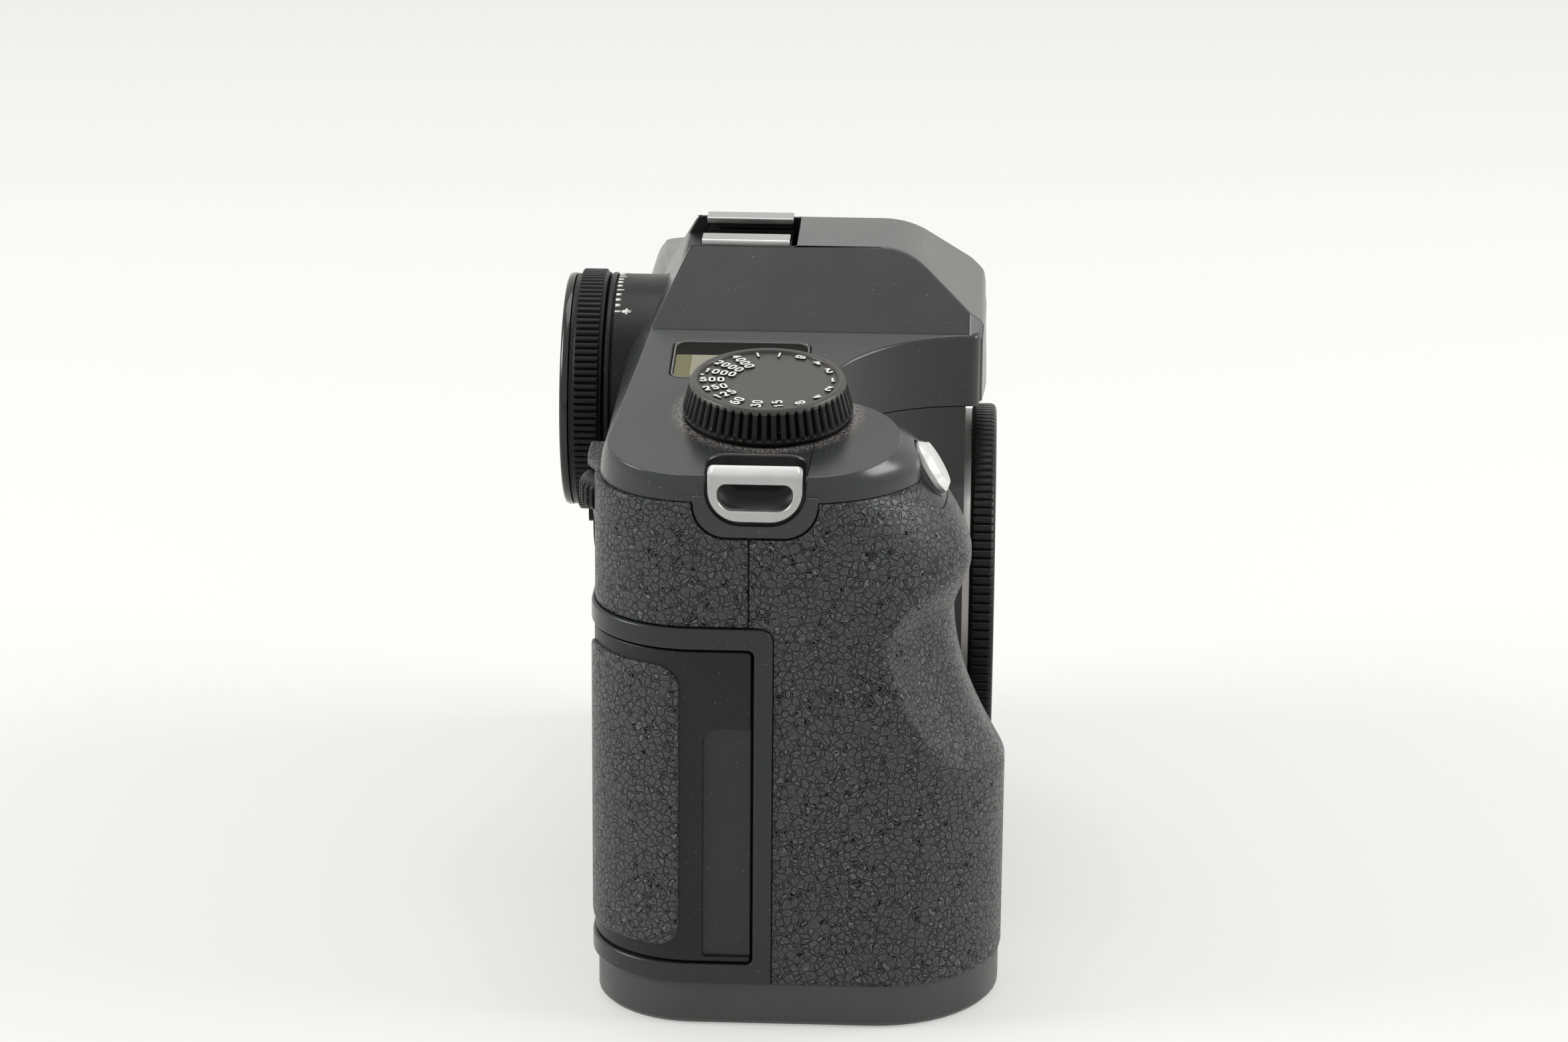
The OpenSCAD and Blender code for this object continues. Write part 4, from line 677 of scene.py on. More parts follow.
def glass(name, colour):
    material, tree, shader = new_finish(name)
    mottle = effect(tree, TOOTH).outputs["Mottle"]
    tree.links.new(blend_colours(tree, mottle, colour, tuple(c * 0.94 for c in colour)), shader["Base Color"])
    shader["Roughness"].default_value = 0.02
    shader["IOR"].default_value = 1.5
    shader["Transmission Weight"].default_value = 1.0
    return material


def dusty_cover(name, lacquer, centre_mm, radius_mm):
    """A copy of the black lacquer for the top cover, with dust that has gathered round the dial's foot."""
    fade_in, fade_out, most = 0.4, 2.6, 0.8
    material = lacquer.copy()
    material.name = name
    tree = material.node_tree
    shader = tree.nodes["Principled BSDF"].inputs
    shader["Specular IOR Level"].default_value = 0.5
    spot = object_spot(tree)
    away = vector_node(tree, "SUBTRACT", spot, Vector(centre_mm) * MM)["Vector"]
    level = vector_node(tree, "MULTIPLY", away, (1, 1, 0))["Vector"]
    distance = vector_node(tree, "LENGTH", level)["Value"]
    ring = times(tree, band(tree, distance, (radius_mm - fade_in) * MM, radius_mm * MM),
                 band(tree, distance, radius_mm * MM, (radius_mm + fade_out) * MM, 1.0, 0.0))
    fluff = band(tree, noise(tree, spot, scale=2400.0, detail=3.0, rough=0.7)["Fac"], 0.42, 0.62)
    share = times(tree, times(tree, ring, fluff), most)
    colour = shader["Base Color"].links[0].from_socket
    tree.links.new(blend_colours(tree, share, colour, FLUFF), shader["Base Color"])
    return material


PAINT = toothed("black lacquer", (0.0225, 0.0228, 0.0235), (0.0245, 0.0248, 0.0255), 0.24, spread=0.015,
                relief=0.01, grain=6500, dust=0.3, specular=0.3)
# Painted shade: a darker copy of the black lacquer for the card door's face.
DOOR_SHADE_PAINT = toothed("door lacquer", (0.012, 0.0122, 0.0125), (0.015, 0.0152, 0.0155), 0.34,
                     relief=0.012, grain=6500, dust=0.3, specular=0.24)
# Painted light: a lighter copy of the black lacquer for the base plate.
BASE_LIT_PAINT = toothed("base lacquer", (0.045, 0.0454, 0.046), (0.052, 0.0524, 0.053), 0.36,
                     relief=0.01, grain=6500, dust=0.3, specular=0.42)
# Painted shade: a darker copy of the black lacquer for the faces inside the pockets and openings of the top
# cover.
POCKET_SHADE = toothed("pocket lacquer", (0.008, 0.008, 0.0083), (0.011, 0.011, 0.0113), 0.42,
                 relief=0.012, grain=6500, specular=0.3)
COVER_PAINT = dusty_cover("cover lacquer", PAINT, (-DIAL_SPOT[0], DIAL_SPOT[1], 0), DIAL_R + 0.1)
SHELL = toothed("dark shell", (0.02, 0.02, 0.0205), (0.025, 0.025, 0.0255), 0.45, relief=0.02)
PLASTIC = toothed("black plastic", (0.005, 0.005, 0.0053), (0.008, 0.008, 0.0083), 0.36,
                  relief=0.008, dust=0.4, specular=0.2)
DIAL_FACE = toothed("dial lacquer", (0.006, 0.006, 0.0063), (0.009, 0.009, 0.0093), 0.34,
                    relief=0.008, grain=6000, dust=0.5, specular=0.22)
# Painted light: a lighter copy of the dial's black for its top faces.
DIAL_TOP_LIT = toothed("worn dial face", (0.05, 0.0495, 0.047), (0.062, 0.0615, 0.058), 0.36,
                   relief=0.008, grain=6000, dust=0.5, specular=0.3)
GLOSS = toothed("gloss black", (0.004, 0.004, 0.0043), (0.006, 0.006, 0.0063), 0.14, spread=0.03,
                relief=0.004)
RUBBER = toothed("black rubber", (0.010, 0.010, 0.0103), (0.013, 0.013, 0.0133), 0.58, relief=0.02)
SILVER = toothed("satin silver", (0.40, 0.40, 0.402), (0.47, 0.47, 0.468), 0.34, metal=1.0,
                 relief=0.008, grain=7000)
BRIGHT_SILVER = toothed("polished silver", (0.8, 0.8, 0.8), (0.86, 0.86, 0.855), 0.18, spread=0.03, metal=1.0,
                        relief=0.004, grain=7000)
STEEL = toothed("brushed steel", (0.4, 0.4, 0.4), (0.5, 0.495, 0.485), 0.36, metal=1.0, relief=0.008)
BLACK_METAL = toothed("blackened metal", (0.05, 0.05, 0.05), (0.07, 0.07, 0.07), 0.4, metal=1.0, relief=0.006)
INK = toothed("pale ink", (0.74, 0.74, 0.73), (0.82, 0.82, 0.81), 0.55, relief=0.0)
BOARD = toothed("circuit board", (0.01, 0.05, 0.025), (0.015, 0.07, 0.035), 0.45, relief=0.01)
LEATHER = leatherette("pebbled leatherette")
CLEAR_GLASS = glass("coated glass", (0.86, 0.9, 0.94))
SCREEN = toothed("dark screen", (0.006, 0.007, 0.009), (0.008, 0.009, 0.011), 0.12, spread=0.02, relief=0.0)
OLIVE = toothed("olive display", (0.23, 0.224, 0.16), (0.25, 0.243, 0.175), 0.4, relief=0.0, specular=0.3)
OLIVE_DARK = toothed("olive border", (0.125, 0.122, 0.06), (0.14, 0.136, 0.068), 0.4, relief=0.0,
                     specular=0.2)
DISPLAY_MASK = toothed("display mask", (0.004, 0.004, 0.0038), (0.006, 0.006, 0.0057), 0.6, relief=0.0,
                       specular=0.1)
BEZEL = toothed("display bezel", (0.10, 0.10, 0.098), (0.13, 0.13, 0.127), 0.35, relief=0.006)
MIRROR = toothed("front silvering", (0.86, 0.87, 0.88), (0.9, 0.91, 0.92), 0.04, spread=0.01, metal=1.0,
                 relief=0.0)


# Stage

ROOM_WHITE = (0.93, 0.93, 0.92, 1.0)


def seen_directly(tree):
    """1 for what the camera sees, straight or in metal and glass, and 0 for light that falls on things."""
    seen = tree.nodes.new("ShaderNodeLightPath").outputs
    shown = math_node(tree, "MAXIMUM", seen["Is Camera Ray"], seen["Is Glossy Ray"])
    return math_node(tree, "MAXIMUM", shown, seen["Is Transmission Ray"])


def pale_paper():
    """Paper of the floor: where it is seen, part of its white is glow and the rest takes the shadow."""
    paper_dark, paper_light = (0.885, 0.885, 0.87), (0.90, 0.90, 0.885)
    seen_grey, glow = (0.45, 0.45, 0.445), 0.44
    paper, tree, shader = new_finish("pale paper")
    mottle = effect(tree, TOOTH).outputs["Mottle"]
    shown = seen_directly(tree)
    lit = blend_colours(tree, mottle, paper_dark, paper_light)
    tree.links.new(blend_colours(tree, shown, lit, seen_grey), shader["Base Color"])
    tree.links.new(times(tree, shown, glow), shader["Emission Strength"])
    shader["Emission Color"].default_value = ROOM_WHITE
    shader["Roughness"].default_value = 0.85
    shader["Specular IOR Level"].default_value = 0.1
    return paper


def lay_floor():
    mesh = bpy.data.meshes.new("paper_floor")
    bm = bmesh.new()
    bmesh.ops.create_grid(bm, x_segments=8, y_segments=8, size=6.0)
    bm.to_mesh(mesh)
    bm.free()
    mesh.materials.append(pale_paper())
    floor = bpy.data.objects.new("paper_floor", mesh)
    bpy.context.scene.collection.objects.link(floor)


def light_room():
    """White room that is seen at full strength and gives off less light than it shows."""
    given_off, seen = 0.5, 1.0
    world = bpy.data.worlds.new("white room")
    bpy.context.scene.world = world
    world.use_nodes = True
    tree = world.node_tree
    background = tree.nodes["Background"].inputs
    background["Color"].default_value = ROOM_WHITE
    tree.links.new(band(tree, seen_directly(tree), 0.0, 1.0, given_off, seen), background["Strength"])


def softbox(name, spot, aim, size, watts):
    lamp = bpy.data.lights.new(name, "AREA")
    lamp.shape = "RECTANGLE"
    lamp.size, lamp.size_y = size
    lamp.energy = watts
    holder = bpy.data.objects.new(name, lamp)
    holder.location = spot
    holder.rotation_euler = (Vector(aim) - Vector(spot)).to_track_quat("-Z", "Y").to_euler()
    bpy.context.scene.collection.objects.link(holder)


def set_camera():
    """Camera of the photograph: place, right, up and forward in the part's frame."""
    photo_width_px, focal_px, sensor = 2359, 7000, 36.0
    eye = bpy.data.cameras.new("photo camera")
    eye.sensor_width = sensor
    eye.lens = focal_px / photo_width_px * sensor
    eye.clip_start = 0.01
    holder = bpy.data.objects.new("photo camera", eye)
    place = at(-0.81797, -0.02879, 0.32220)
    right = Vector((0.042490, -0.999069, 0.007490))
    up = Vector((0.300139, 0.019915, 0.953688))
    forward = Vector((0.952949, 0.038274, -0.300706))
    holder.matrix_world = place @ Matrix((right, up, -forward)).transposed().to_4x4()
    bpy.context.scene.collection.objects.link(holder)
    bpy.context.scene.camera = holder
    bpy.context.scene.view_settings.view_transform = "Standard"


# Grip cover, lofted through the same rings as the solid but finer

SCOOP_H = 66.0
SCOOP_ABOVE = 13.0
SCOOP_BELOW = 24.0
FOOT_REACH = GRIP_FOOT + COVER_PROUD


def envelope(z):
    """Reach of the grip at height z, finger groove left out."""
    if z < FLARE_H:
        return FOOT_REACH
    if z < BULGE_H:
        rise = (z - FLARE_H) / (BULGE_H - FLARE_H)
        return BULGE_REACH + (FOOT_REACH - BULGE_REACH) * (1 - rise ** 2.2)
    rise = min(1, (z - BULGE_H) / (SPLIT_H - BULGE_H))
    return BULGE_REACH - (BULGE_REACH - GRIP_TOP_REACH) * rise ** 1.6


def grip_front(z):
    """Reach of the grip at height z down in its finger groove."""
    if FLARE_H <= z < GROOVE_H:
        rise = (z - FLARE_H) / (GROOVE_H - FLARE_H)
        return GROOVE_REACH + (FOOT_REACH - GROOVE_REACH) * (1 - ease(rise ** 0.62))
    if GROOVE_H <= z < BULGE_H:
        return GROOVE_REACH + (BULGE_REACH - GROOVE_REACH) * ease((z - GROOVE_H) / (BULGE_H - GROOVE_H))
    return envelope(z)


def scoop_share(z, angle):
    """Share of the finger scoop's depth at a height and an angle round the corner: an oval with a rim."""
    start, later_at_ends, run, rim = 11, 34, 46, 0.02
    away = (z - SCOOP_H) / (SCOOP_ABOVE if z > SCOOP_H else SCOOP_BELOW)
    t = (angle - start - later_at_ends * min(1.2, abs(away)) ** 2) / run
    if t <= 0:
        return 0.0
    if t >= 1:
        return 1.0
    return (1 - (1 - t) ** 2.8) * t * (1 + rim) / (t + rim)


def grip_ring(z, inset, start_y):
    """Plan of the grip cover at height z, set in by inset: side, outer corner, inner corner, inner side."""
    side = GRIP_REACH + COVER_PROUD
    reach = envelope(z)
    groove = reach - grip_front(z)
    first = GRIP_CORNER - reach
    last = GRIP_INNER_CORNER - reach
    ring = [(inset - side, start_y + (first - start_y) * i / 8) for i in range(8)]
    for i in range(61):
        degrees = 1.5 * i
        a = math.radians(degrees)
        r = GRIP_CORNER - inset - groove * scoop_share(z, degrees)
        ring.append((GRIP_CORNER - side - r * math.cos(a), first - r * math.sin(a)))
    for i in range(25):
        degrees = 90 - 3.75 * i
        a = math.radians(degrees)
        r = GRIP_INNER_CORNER - inset - groove * ease(degrees / 60)
        ring.append((-GRIP_INNER - GRIP_INNER_CORNER + r * math.cos(a), last - r * math.sin(a)))
    end_y = -BODY_FRONT - EDGE_GAP
    ring += [(-GRIP_INNER - inset, last + (end_y - last) * i / 6) for i in range(1, 7)]
    return ring


def grip_sheet(levels, inset):
    """Rows of the grip cover through (height, start of the row, extra inset) levels."""
    return [[(x, y, z) for x, y in grip_ring(z, inset + extra, start_y)] for z, start_y, extra in levels]


def build_grip_cover():
    """Leather of the grip, its lower and upper edges rolled in, with a patch in the frame's round corner."""
    roll, frame_corner = 0.21, 2.2
    patch_r, patch_low, patch_high = 2.3, -1.6, COVER_PROUD - 0.05
    step_h, seam_h = FRAME_H + EDGE_GAP, FRAME_H + 2 * EDGE_GAP
    levels = [(BASE_H + (step_h - BASE_H) * i / 72, FRAME_Y - EDGE_GAP, 0.0) for i in range(73)]
    levels += [(seam_h + (SPLIT_H - seam_h) * i / 26, SEAM_Y - EDGE_GAP / 2, 0.0) for i in range(27)]
    rolled = [(z, y, roll if k in (0, len(levels) - 1) else 0.0) for k, (z, y, _) in enumerate(levels)]
    bm = sheet_shell(grip_sheet(rolled, 0.0), grip_sheet(levels, COVER_T))
    patch = [Vector((FRAME_Y - EDGE_GAP, step_h))]
    centre = Vector((FRAME_Y + frame_corner, FRAME_H - frame_corner))
    patch += [centre + patch_r * Vector((-math.sin(a), math.cos(a))) for a in quarter(10)]
    loops = [[bm.verts.new((-GRIP_REACH - g, p.x, p.y)) for p in patch] for g in (patch_low, patch_high)]
    add_wall(bm, *loops)
    for loop in loops:
        bm.faces.new(loop)
    cover = shape("grip_cover.leather", bm, LEATHER, slot="leatherette")
    formed(cover, [("DIFFERENCE", apron_room(*RIGHT_LUG)), ("DIFFERENCE", pod_room(EDGE_GAP))])
    keep_flats_flat(cover, 50)


def build_release_tongue():
    """Lacquered tongue of the top cover under the release button, flush with the leather round it."""
    foot_h, top_h, set_back = 82, SPLIT_H + 0.1, 0.12
    levels = [(foot_h + (top_h - foot_h) * k / 24, SEAM_Y, 0.0) for k in range(25)]
    bm = sheet_shell(grip_sheet(levels, set_back), grip_sheet(levels, COVER_T))
    tongue = shape("release_tongue", bm, PAINT)
    formed(tongue, [("INTERSECT", pod_room(0.0))])
    keep_flats_flat(tongue, 40)


# Top cover: shoulders between the seam and the sloped plates, with the prism housing and the lug aprons

APRON_HALF = 15.8 / 2 + 2.6
APRON_FLOOR_H = LUG_FLOOR_H - 3.1
APRON_CORNER = 5.8
EAVE_X = 23.6
NECK_HALF = 23.9
BAY_R = 27.2
BAY_X = NECK_HALF + BAY_R
BAY_Y = -BODY_FRONT - BAY_R
BROW_R = 238.6
BROW_REACH = 32.4
HOUSING_REACH = 32.8
REAR_SEAM_Y = 32.4
REAR_EAVE_Y = 27.2
X_AXIS, Y_AXIS, Z_AXIS = Vector((1, 0, 0)), Vector((0, 1, 0)), Vector((0, 0, 1))


def apron_room(side, reach, y, grow=EDGE_GAP):
    half, radius = APRON_HALF + grow, APRON_CORNER + grow
    corners = box_corners(y - half, APRON_FLOOR_H - grow, y + half, SPLIT_H + 3, radius, radius, 0, 0)
    return linked("apron_room", prism_between(rounded(corners, 12), -8, 4, outward(side, reach)))


def pod_room(grow):
    wide, narrow, foot, top = 7.6 + grow, 6.4 + grow, -5.8 - grow, 12
    outline = rounded([(-wide, foot, 2), (wide, foot, 2), (narrow, top, 0), (-narrow, top, 0)], 12)
    return linked("pod_room", prism_between(outline, -9, 6, on_pod()))


def apron(side, reach, y):
    corners = box_corners(y - APRON_HALF, APRON_FLOOR_H, y + APRON_HALF, SPLIT_H + 1.2,
                          APRON_CORNER, APRON_CORNER, 0.4, 0.4)
    return placed(layered_plate(corners, low=-11, high=0.15, edge=0.4, steps=10), outward(side, reach))


def lug_pocket(side, reach, y):
    half, floor_h, open_h = 8.3, LUG_FLOOR_H - 0.8, 130
    corners = box_corners(y - half, floor_h, y + half, open_h, 6, 6, 1, 1)
    pocket = layered_plate(corners, low=-6, high=9.8, edge=3.4, steps=10, edge_steps=8)
    return placed(pocket, outward(-side, -reach))


def straight(a, b):
    return lambda t: Vector(a).lerp(Vector(b), t)


def bow(centre, radius, first, last, flat=1.0):
    """Arc round a centre, in degrees; flat squeezes it along Y."""
    def spot(t):
        turn = math.radians(first + (last - first) * t)
        return Vector((centre[0] + radius * math.cos(turn), centre[1] + flat * radius * math.sin(turn)))
    return spot


def bowed_front(x, reach):
    """Point of a bowed front that reaches so far at its middle."""
    return Vector((x, BROW_R - reach - math.sqrt(BROW_R ** 2 - x * x)))


def brow(first, last):
    """Bowed front under the prism housing, set back a little behind the housing's own front."""
    return lambda t: bowed_front(first + (last - first) * t, BROW_REACH)


def rear(x0, x1, plate0, plate1):
    """Rear run: a straight seam from x0 to x1, and the plate's edge between two points."""
    return straight((x0, REAR_SEAM_Y), (x1, REAR_SEAM_Y)), straight(plate0, plate1)


def alike(curve):
    """Run whose seam and plate curves are the same."""
    return curve, curve


def cover_runs():
    """Runs of the outline as (count, (seam curve, plate curve), edge radius at its start and end)."""
    grip_bay, left_bay = (-BAY_X, BAY_Y), (BAY_X, BAY_Y)
    return [
        (6, rear(0, -EAVE_X, (0, REAR_EAVE_Y), (-EAVE_X, REAR_EAVE_Y)), 0.5, 0.5),
        (8, rear(-EAVE_X, -51.5, (-EAVE_X, REAR_EAVE_Y), (-51.5, 29.6)), 0.5, 0.5),
        (6, rear(-51.5, -67.5, (-51.5, 29.6), (-69.4, 31.2)), 0.5, 0.3),
        (20, (bow((-67.5, 15.4), 17, 90, 180), bow((-69.4, 17.2), 14, 90, 180)), 0.3, 0.3),
        (8, (straight((-84.5, 15.4), (-84.5, -0.8)), straight((-83.4, 17.2), (-83.4, -2.9))), 0.3, 0.3),
        (24, (bow((-62.5, -0.8), 22, 180, 270), bow((-68.1, -2.9), 15.3, 180, 270)), 0.3, 0.3),
        (2, (straight((-62.5, -22.8), (-62.4, -22.8)), straight((-68.1, -18.2), (-66.3, -18.2))), 0.3, 0.3),
        (18, (bow((-62.4, -9.9), 12.9, 270, 360), bow((-66.3, -3.4), 14.8, 270, 360)), 0.3, 0.6),
        (4, (straight((-49.5, -9.9), (-49.5, -4.05)), straight((-51.5, -3.4), (-51.0, -4.0))), 0.6, 0.5),
        (32, (bow(grip_bay, BAY_R, 86.6, 3.58), bow(grip_bay, BAY_R, 89.6, 3.58)), 0.5, 0.6),
        (6, alike(bow((-22, -29.5), 1.95, 180, 270, 0.965)), 0.6, 0.8),
        (10, alike(brow(-22, 0)), 0.8, 0.8),
        (10, alike(brow(0, 22)), 0.8, 0.8),
        (6, alike(bow((22, -29.5), 1.95, 270, 360, 0.965)), 0.8, 0.6),
        (32, alike(bow(left_bay, BAY_R, 176.42, 90)), 0.6, 0.5),
        (6, (straight((51.1, -4), (66, -4)), straight((51.1, -4), (65.8, -4))), 0.5, 0.6),
        (14, (bow((66, 5), 9, 270, 360), bow((65.8, 4), 8, 270, 360)), 0.6, 0.4),
        (8, (straight((75, 5), (75, 23.4)), straight((73.8, 4), (73.8, 22.4))), 0.4, 0.4),
        (14, (bow((66, 23.4), 9, 0, 90), bow((65.8, 22.4), 8, 0, 90)), 0.4, 0.5),
        (6, rear(66, 51.5, (65.8, 30.4), (51.5, 29.6)), 0.5, 0.5),
        (8, rear(51.5, EAVE_X, (51.5, 29.6), (EAVE_X, REAR_EAVE_Y)), 0.5, 0.5),
        (6, rear(EAVE_X, 0, (EAVE_X, REAR_EAVE_Y), (0, REAR_EAVE_Y)), 0.5, 0.5)]


def inward(points):
    """Inward normals of a counter-clockwise outline."""
    count = len(points)
    normals = []
    for i in range(count):
        along = (points[(i + 1) % count] - points[i - 1]).normalized()
        normals.append(Vector((-along.y, along.x)))
    return normals


def shoulder_h(x):
    """Height of the sloped plates, which run level under the prism housing."""
    return plate_h(max(abs(x), EAVE_X))


def cover_shoulders():
    """Body between the seam and the plates, its top folded where the plates meet the level part."""
    steep, seam_edge, near_eave = math.radians(64), 0.2, 0.6
    seam, plate, edges, folds = [], [], [], []
    for count, (low, high), edge0, edge1 in cover_runs():
        if abs(abs(low(0).x) - EAVE_X) < near_eave:
            folds.append(len(seam))
        for i in range(count):
            t = i / count
            seam.append(low(t))
            plate.append(high(t))
            edges.append(edge0 + (edge1 - edge0) * t)
    bm = bmesh.new()
    levels = [[bm.verts.new((*(p + n * seam_edge), SPLIT_H)) for p, n in zip(seam, inward(seam))]]
    foot = SPLIT_H + seam_edge
    for k in range(9):
        turn = steep * k / 8
        across = (1 - math.cos(turn)) / (1 - math.cos(steep))
        rise = math.sin(turn) / math.sin(steep)
        levels.append([bm.verts.new((*p.lerp(q, across), foot + (shoulder_h(q.x) - e - foot) * rise))
                       for p, q, e in zip(seam, plate, edges)])
    plate_in = inward(plate)
    for turn in quarter(4)[1:]:
        ring = []
        for q, n, e in zip(plate, plate_in, edges):
            spot = q + n * e * (1 - math.cos(turn))
            ring.append(bm.verts.new((*spot, shoulder_h(spot.x) - e * (1 - math.sin(turn)))))
        levels.append(ring)
    for low, high in zip(levels, levels[1:]):
        add_wall(bm, low, high)
    top = levels[-1]
    rear_left, front_left, front_right, rear_right = folds
    bm.faces.new(top[rear_left:front_left + 1])
    bm.faces.new(top[front_right:rear_right + 1])
    bm.faces.new(top[:rear_left + 1] + top[front_left:front_right + 1] + top[rear_right:])
    bm.faces.new(levels[0])
    return bm


def half_space_corners(planes, size=400):
    """Corners of the convex body that lies inside every plane, given as (normal, distance)."""
    bm = bmesh.new()
    bmesh.ops.create_cube(bm, size=size)
    for normal, distance in planes:
        cut_away(bm, normal * distance, normal)
    bmesh.ops.remove_doubles(bm, verts=bm.verts, dist=1e-3)
    corners = [v.co.copy() for v in bm.verts]
    bm.free()
    return corners


def side_planes(outline, axis_u, axis_v, inset):
    """Planes through the sides of a convex counter-clockwise outline, moved in by inset."""
    planes = []
    for a, b in zip(outline, outline[1:] + outline[:1]):
        along = b - a
        if along.length < 1e-6:
            continue
        out = Vector((along.y, -along.x)).normalized()
        planes.append((out.x * axis_u + out.y * axis_v, out.dot(a) - inset))
    return planes


def rounded_hull(corners, radius, detail=3):
    """Convex body round the corners, all of its edges rounded by radius."""
    ball = bmesh.new()
    bmesh.ops.create_icosphere(ball, subdivisions=detail, radius=radius)
    offsets = [v.co.copy() for v in ball.verts]
    ball.free()
    bm = bmesh.new()
    for corner in corners:
        for offset in offsets:
            bm.verts.new(corner + offset)
    hull = bmesh.ops.convex_hull(bm, input=bm.verts)
    inside = set(hull["geom_interior"]) | set(hull["geom_unused"])
    spare = [g for g in inside if isinstance(g, bmesh.types.BMVert)]
    bmesh.ops.delete(bm, geom=spare, context="VERTS")
    bmesh.ops.dissolve_limit(bm, angle_limit=math.radians(0.3), verts=bm.verts, edges=bm.edges)
    return bm


def housing_corners(inset):
    """Corners of the prism housing, set in by inset: its front view, side view, plan and two front facets."""
    floor_h, eave = 88, plate_h(EAVE_X)
    roof_half, neck, neck_front = 11, NECK_HALF - 0.1, -29.0
    front_view = [Vector(p) for p in ((-EAVE_X, floor_h), (EAVE_X, floor_h), (EAVE_X, eave),
                                      (roof_half, ROOF_H), (-roof_half, ROOF_H), (-EAVE_X, eave))]
    side_view = rounded([(-HOUSING_REACH, floor_h, 0), (REAR_EAVE_Y, floor_h, 0), (REAR_EAVE_Y, eave, 0),
                         (20.6, ROOF_H, 0), (-18, ROOF_H, 13), (-32.2, 107.6, 3.5)], 7)
    plan = [bowed_front(x, HOUSING_REACH) for x in (-21.4, -14, -7, 0, 7, 14, 21.4)]
    plan += [Vector(p) for p in ((neck, neck_front), (neck, 40), (-neck, 40), (-neck, neck_front))]
    planes = side_planes(front_view, X_AXIS, Z_AXIS, inset)
    planes += side_planes(side_view, Y_AXIS, Z_AXIS, inset)
    planes += side_planes(plan, X_AXIS, Y_AXIS, inset)
    for side in (-1, 1):
        facet = Vector((side * 0.5, -math.sqrt(0.5), 0.5))
        planes.append((facet, facet.dot(Vector((side * EAVE_X, -29.4, eave))) - inset))
    return half_space_corners(planes)


def prism_housing():
    """Housing with rounded edges, cut a little above the seam so that no two floors share a plane."""
    edge = 0.8
    housing = rounded_hull(housing_corners(edge), edge)
    cut_away(housing, (0, 0, SPLIT_H + 0.4), (0, 0, -1))
    return housing


def release_seat():
    half = 5.75
    corners = box_corners(-half, -half, half, half, half - 0.01)
    return placed(layered_plate(corners, low=-4.6, high=-0.1, edge=0.4, steps=16), on_pod())


def build_top_cover():
    """One closed mesh: shoulders, housing, aprons and seat joined, then room and pockets cut out."""
    wall, rim = 2.6, 0.35
    seat_r, stem_r, shaft_r, barrel_r = 5.3, 2.4, 3.05, EYE_R + 0.1
    display_hole = rounded(box_corners(-8.15, -12.05, 8.15, 12.05, 2.3))
    shoe_hole = rounded(box_corners(-10.95, 1.8, 10.95, 40, 0.8))
    solids = [prism_housing(), apron(*RIGHT_LUG), apron(*LEFT_LUG), release_seat()]
    pockets = [rounded_hull(housing_corners(wall), 0.2, 1), lug_pocket(*RIGHT_LUG), lug_pocket(*LEFT_LUG),
               prism_between(display_hole, -3.4, 4, on_plate(*DISPLAY_SPOT)),
               prism_between(shoe_hole, SHOE_FLOOR_H, 125, Matrix()),
               prism_between(circle(barrel_r), 0, 20, facing_back(0, 18, EYE_H)),
               prism_between(circle(seat_r), -1.6, 6, on_pod()),
               prism_between(circle(stem_r), -9, -1, on_pod()),
               prism_between(circle(shaft_r), -6, 3, on_plate(*DIAL_SPOT))]
    # Faces inside the pockets take the darker lacquer: painted shade.
    for pocket in pockets:
        for face in pocket.faces:
            face.material_index = 1
    finishes = (COVER_PAINT, POCKET_SHADE)
    cover = linked("top_cover.shell", cover_shoulders(), finishes)
    steps = [("UNION", linked("cover_solid", bm, finishes)) for bm in solids]
    steps += [("DIFFERENCE", linked("cover_cut", bm, finishes)) for bm in pockets]
    formed(cover, steps, rim)
    fitted(cover)
    keep_flats_flat(cover, 32)


# Dial with raised numbers

DIAL_PLACE = on_plate(*DIAL_SPOT)
DIAL_FLOOR = 5.95

# Strokes of the digits on a field 4 wide and 6 tall: corners with their radii, and whether the stroke closes
DIGITS = {
    "0": [([(0, 0, 1.6), (4, 0, 1.6), (4, 6, 1.6), (0, 6, 1.6)], True)],
    "1": [([(0.6, 4.7, 0), (2.2, 6, 0.1), (2.2, 0, 0)], False)],
    "2": [([(0.1, 4.5, 0), (0.1, 6, 1.4), (3.9, 6, 1.6), (3.9, 3.3, 1), (0, 0, 0.2), (4, 0, 0)], False)],
    "3": [([(0.2, 6, 0), (3.8, 6, 0.2), (1.8, 3.5, 0.2), (4, 3.5, 1.5), (4, 0, 1.6), (0, 0, 1.2),
            (0, 1.3, 0)], False)],
    "4": [([(3, 0, 0), (3, 6, 0.2), (0, 1.8, 0.2), (4.2, 1.8, 0)], False)],
    "5": [([(3.7, 6, 0), (0.6, 6, 0.2), (0.3, 3.4, 0.2), (4, 3.7, 1.5), (4, 0, 1.5), (0, 0, 1.2),
            (0, 1.3, 0)], False)],
    "6": [([(3.4, 6, 0), (0, 6, 2.4), (0, 0, 1.5), (4, 0, 1.5), (4, 3.5, 1.5), (0.1, 3.5, 0)], False)],
    "8": [([(0.4, 3.2, 1.2), (3.6, 3.2, 1.2), (3.6, 6, 1.2), (0.4, 6, 1.2)], True),
          ([(0, 0, 1.4), (4, 0, 1.4), (4, 3.2, 1.4), (0, 3.2, 1.4)], True)]}
SPEEDS = ["", "4000", "2000", "1000", "500", "250", "125", "60", "30", "15", "8", "4", "2", "1", "2", "4",
          "8", ""]


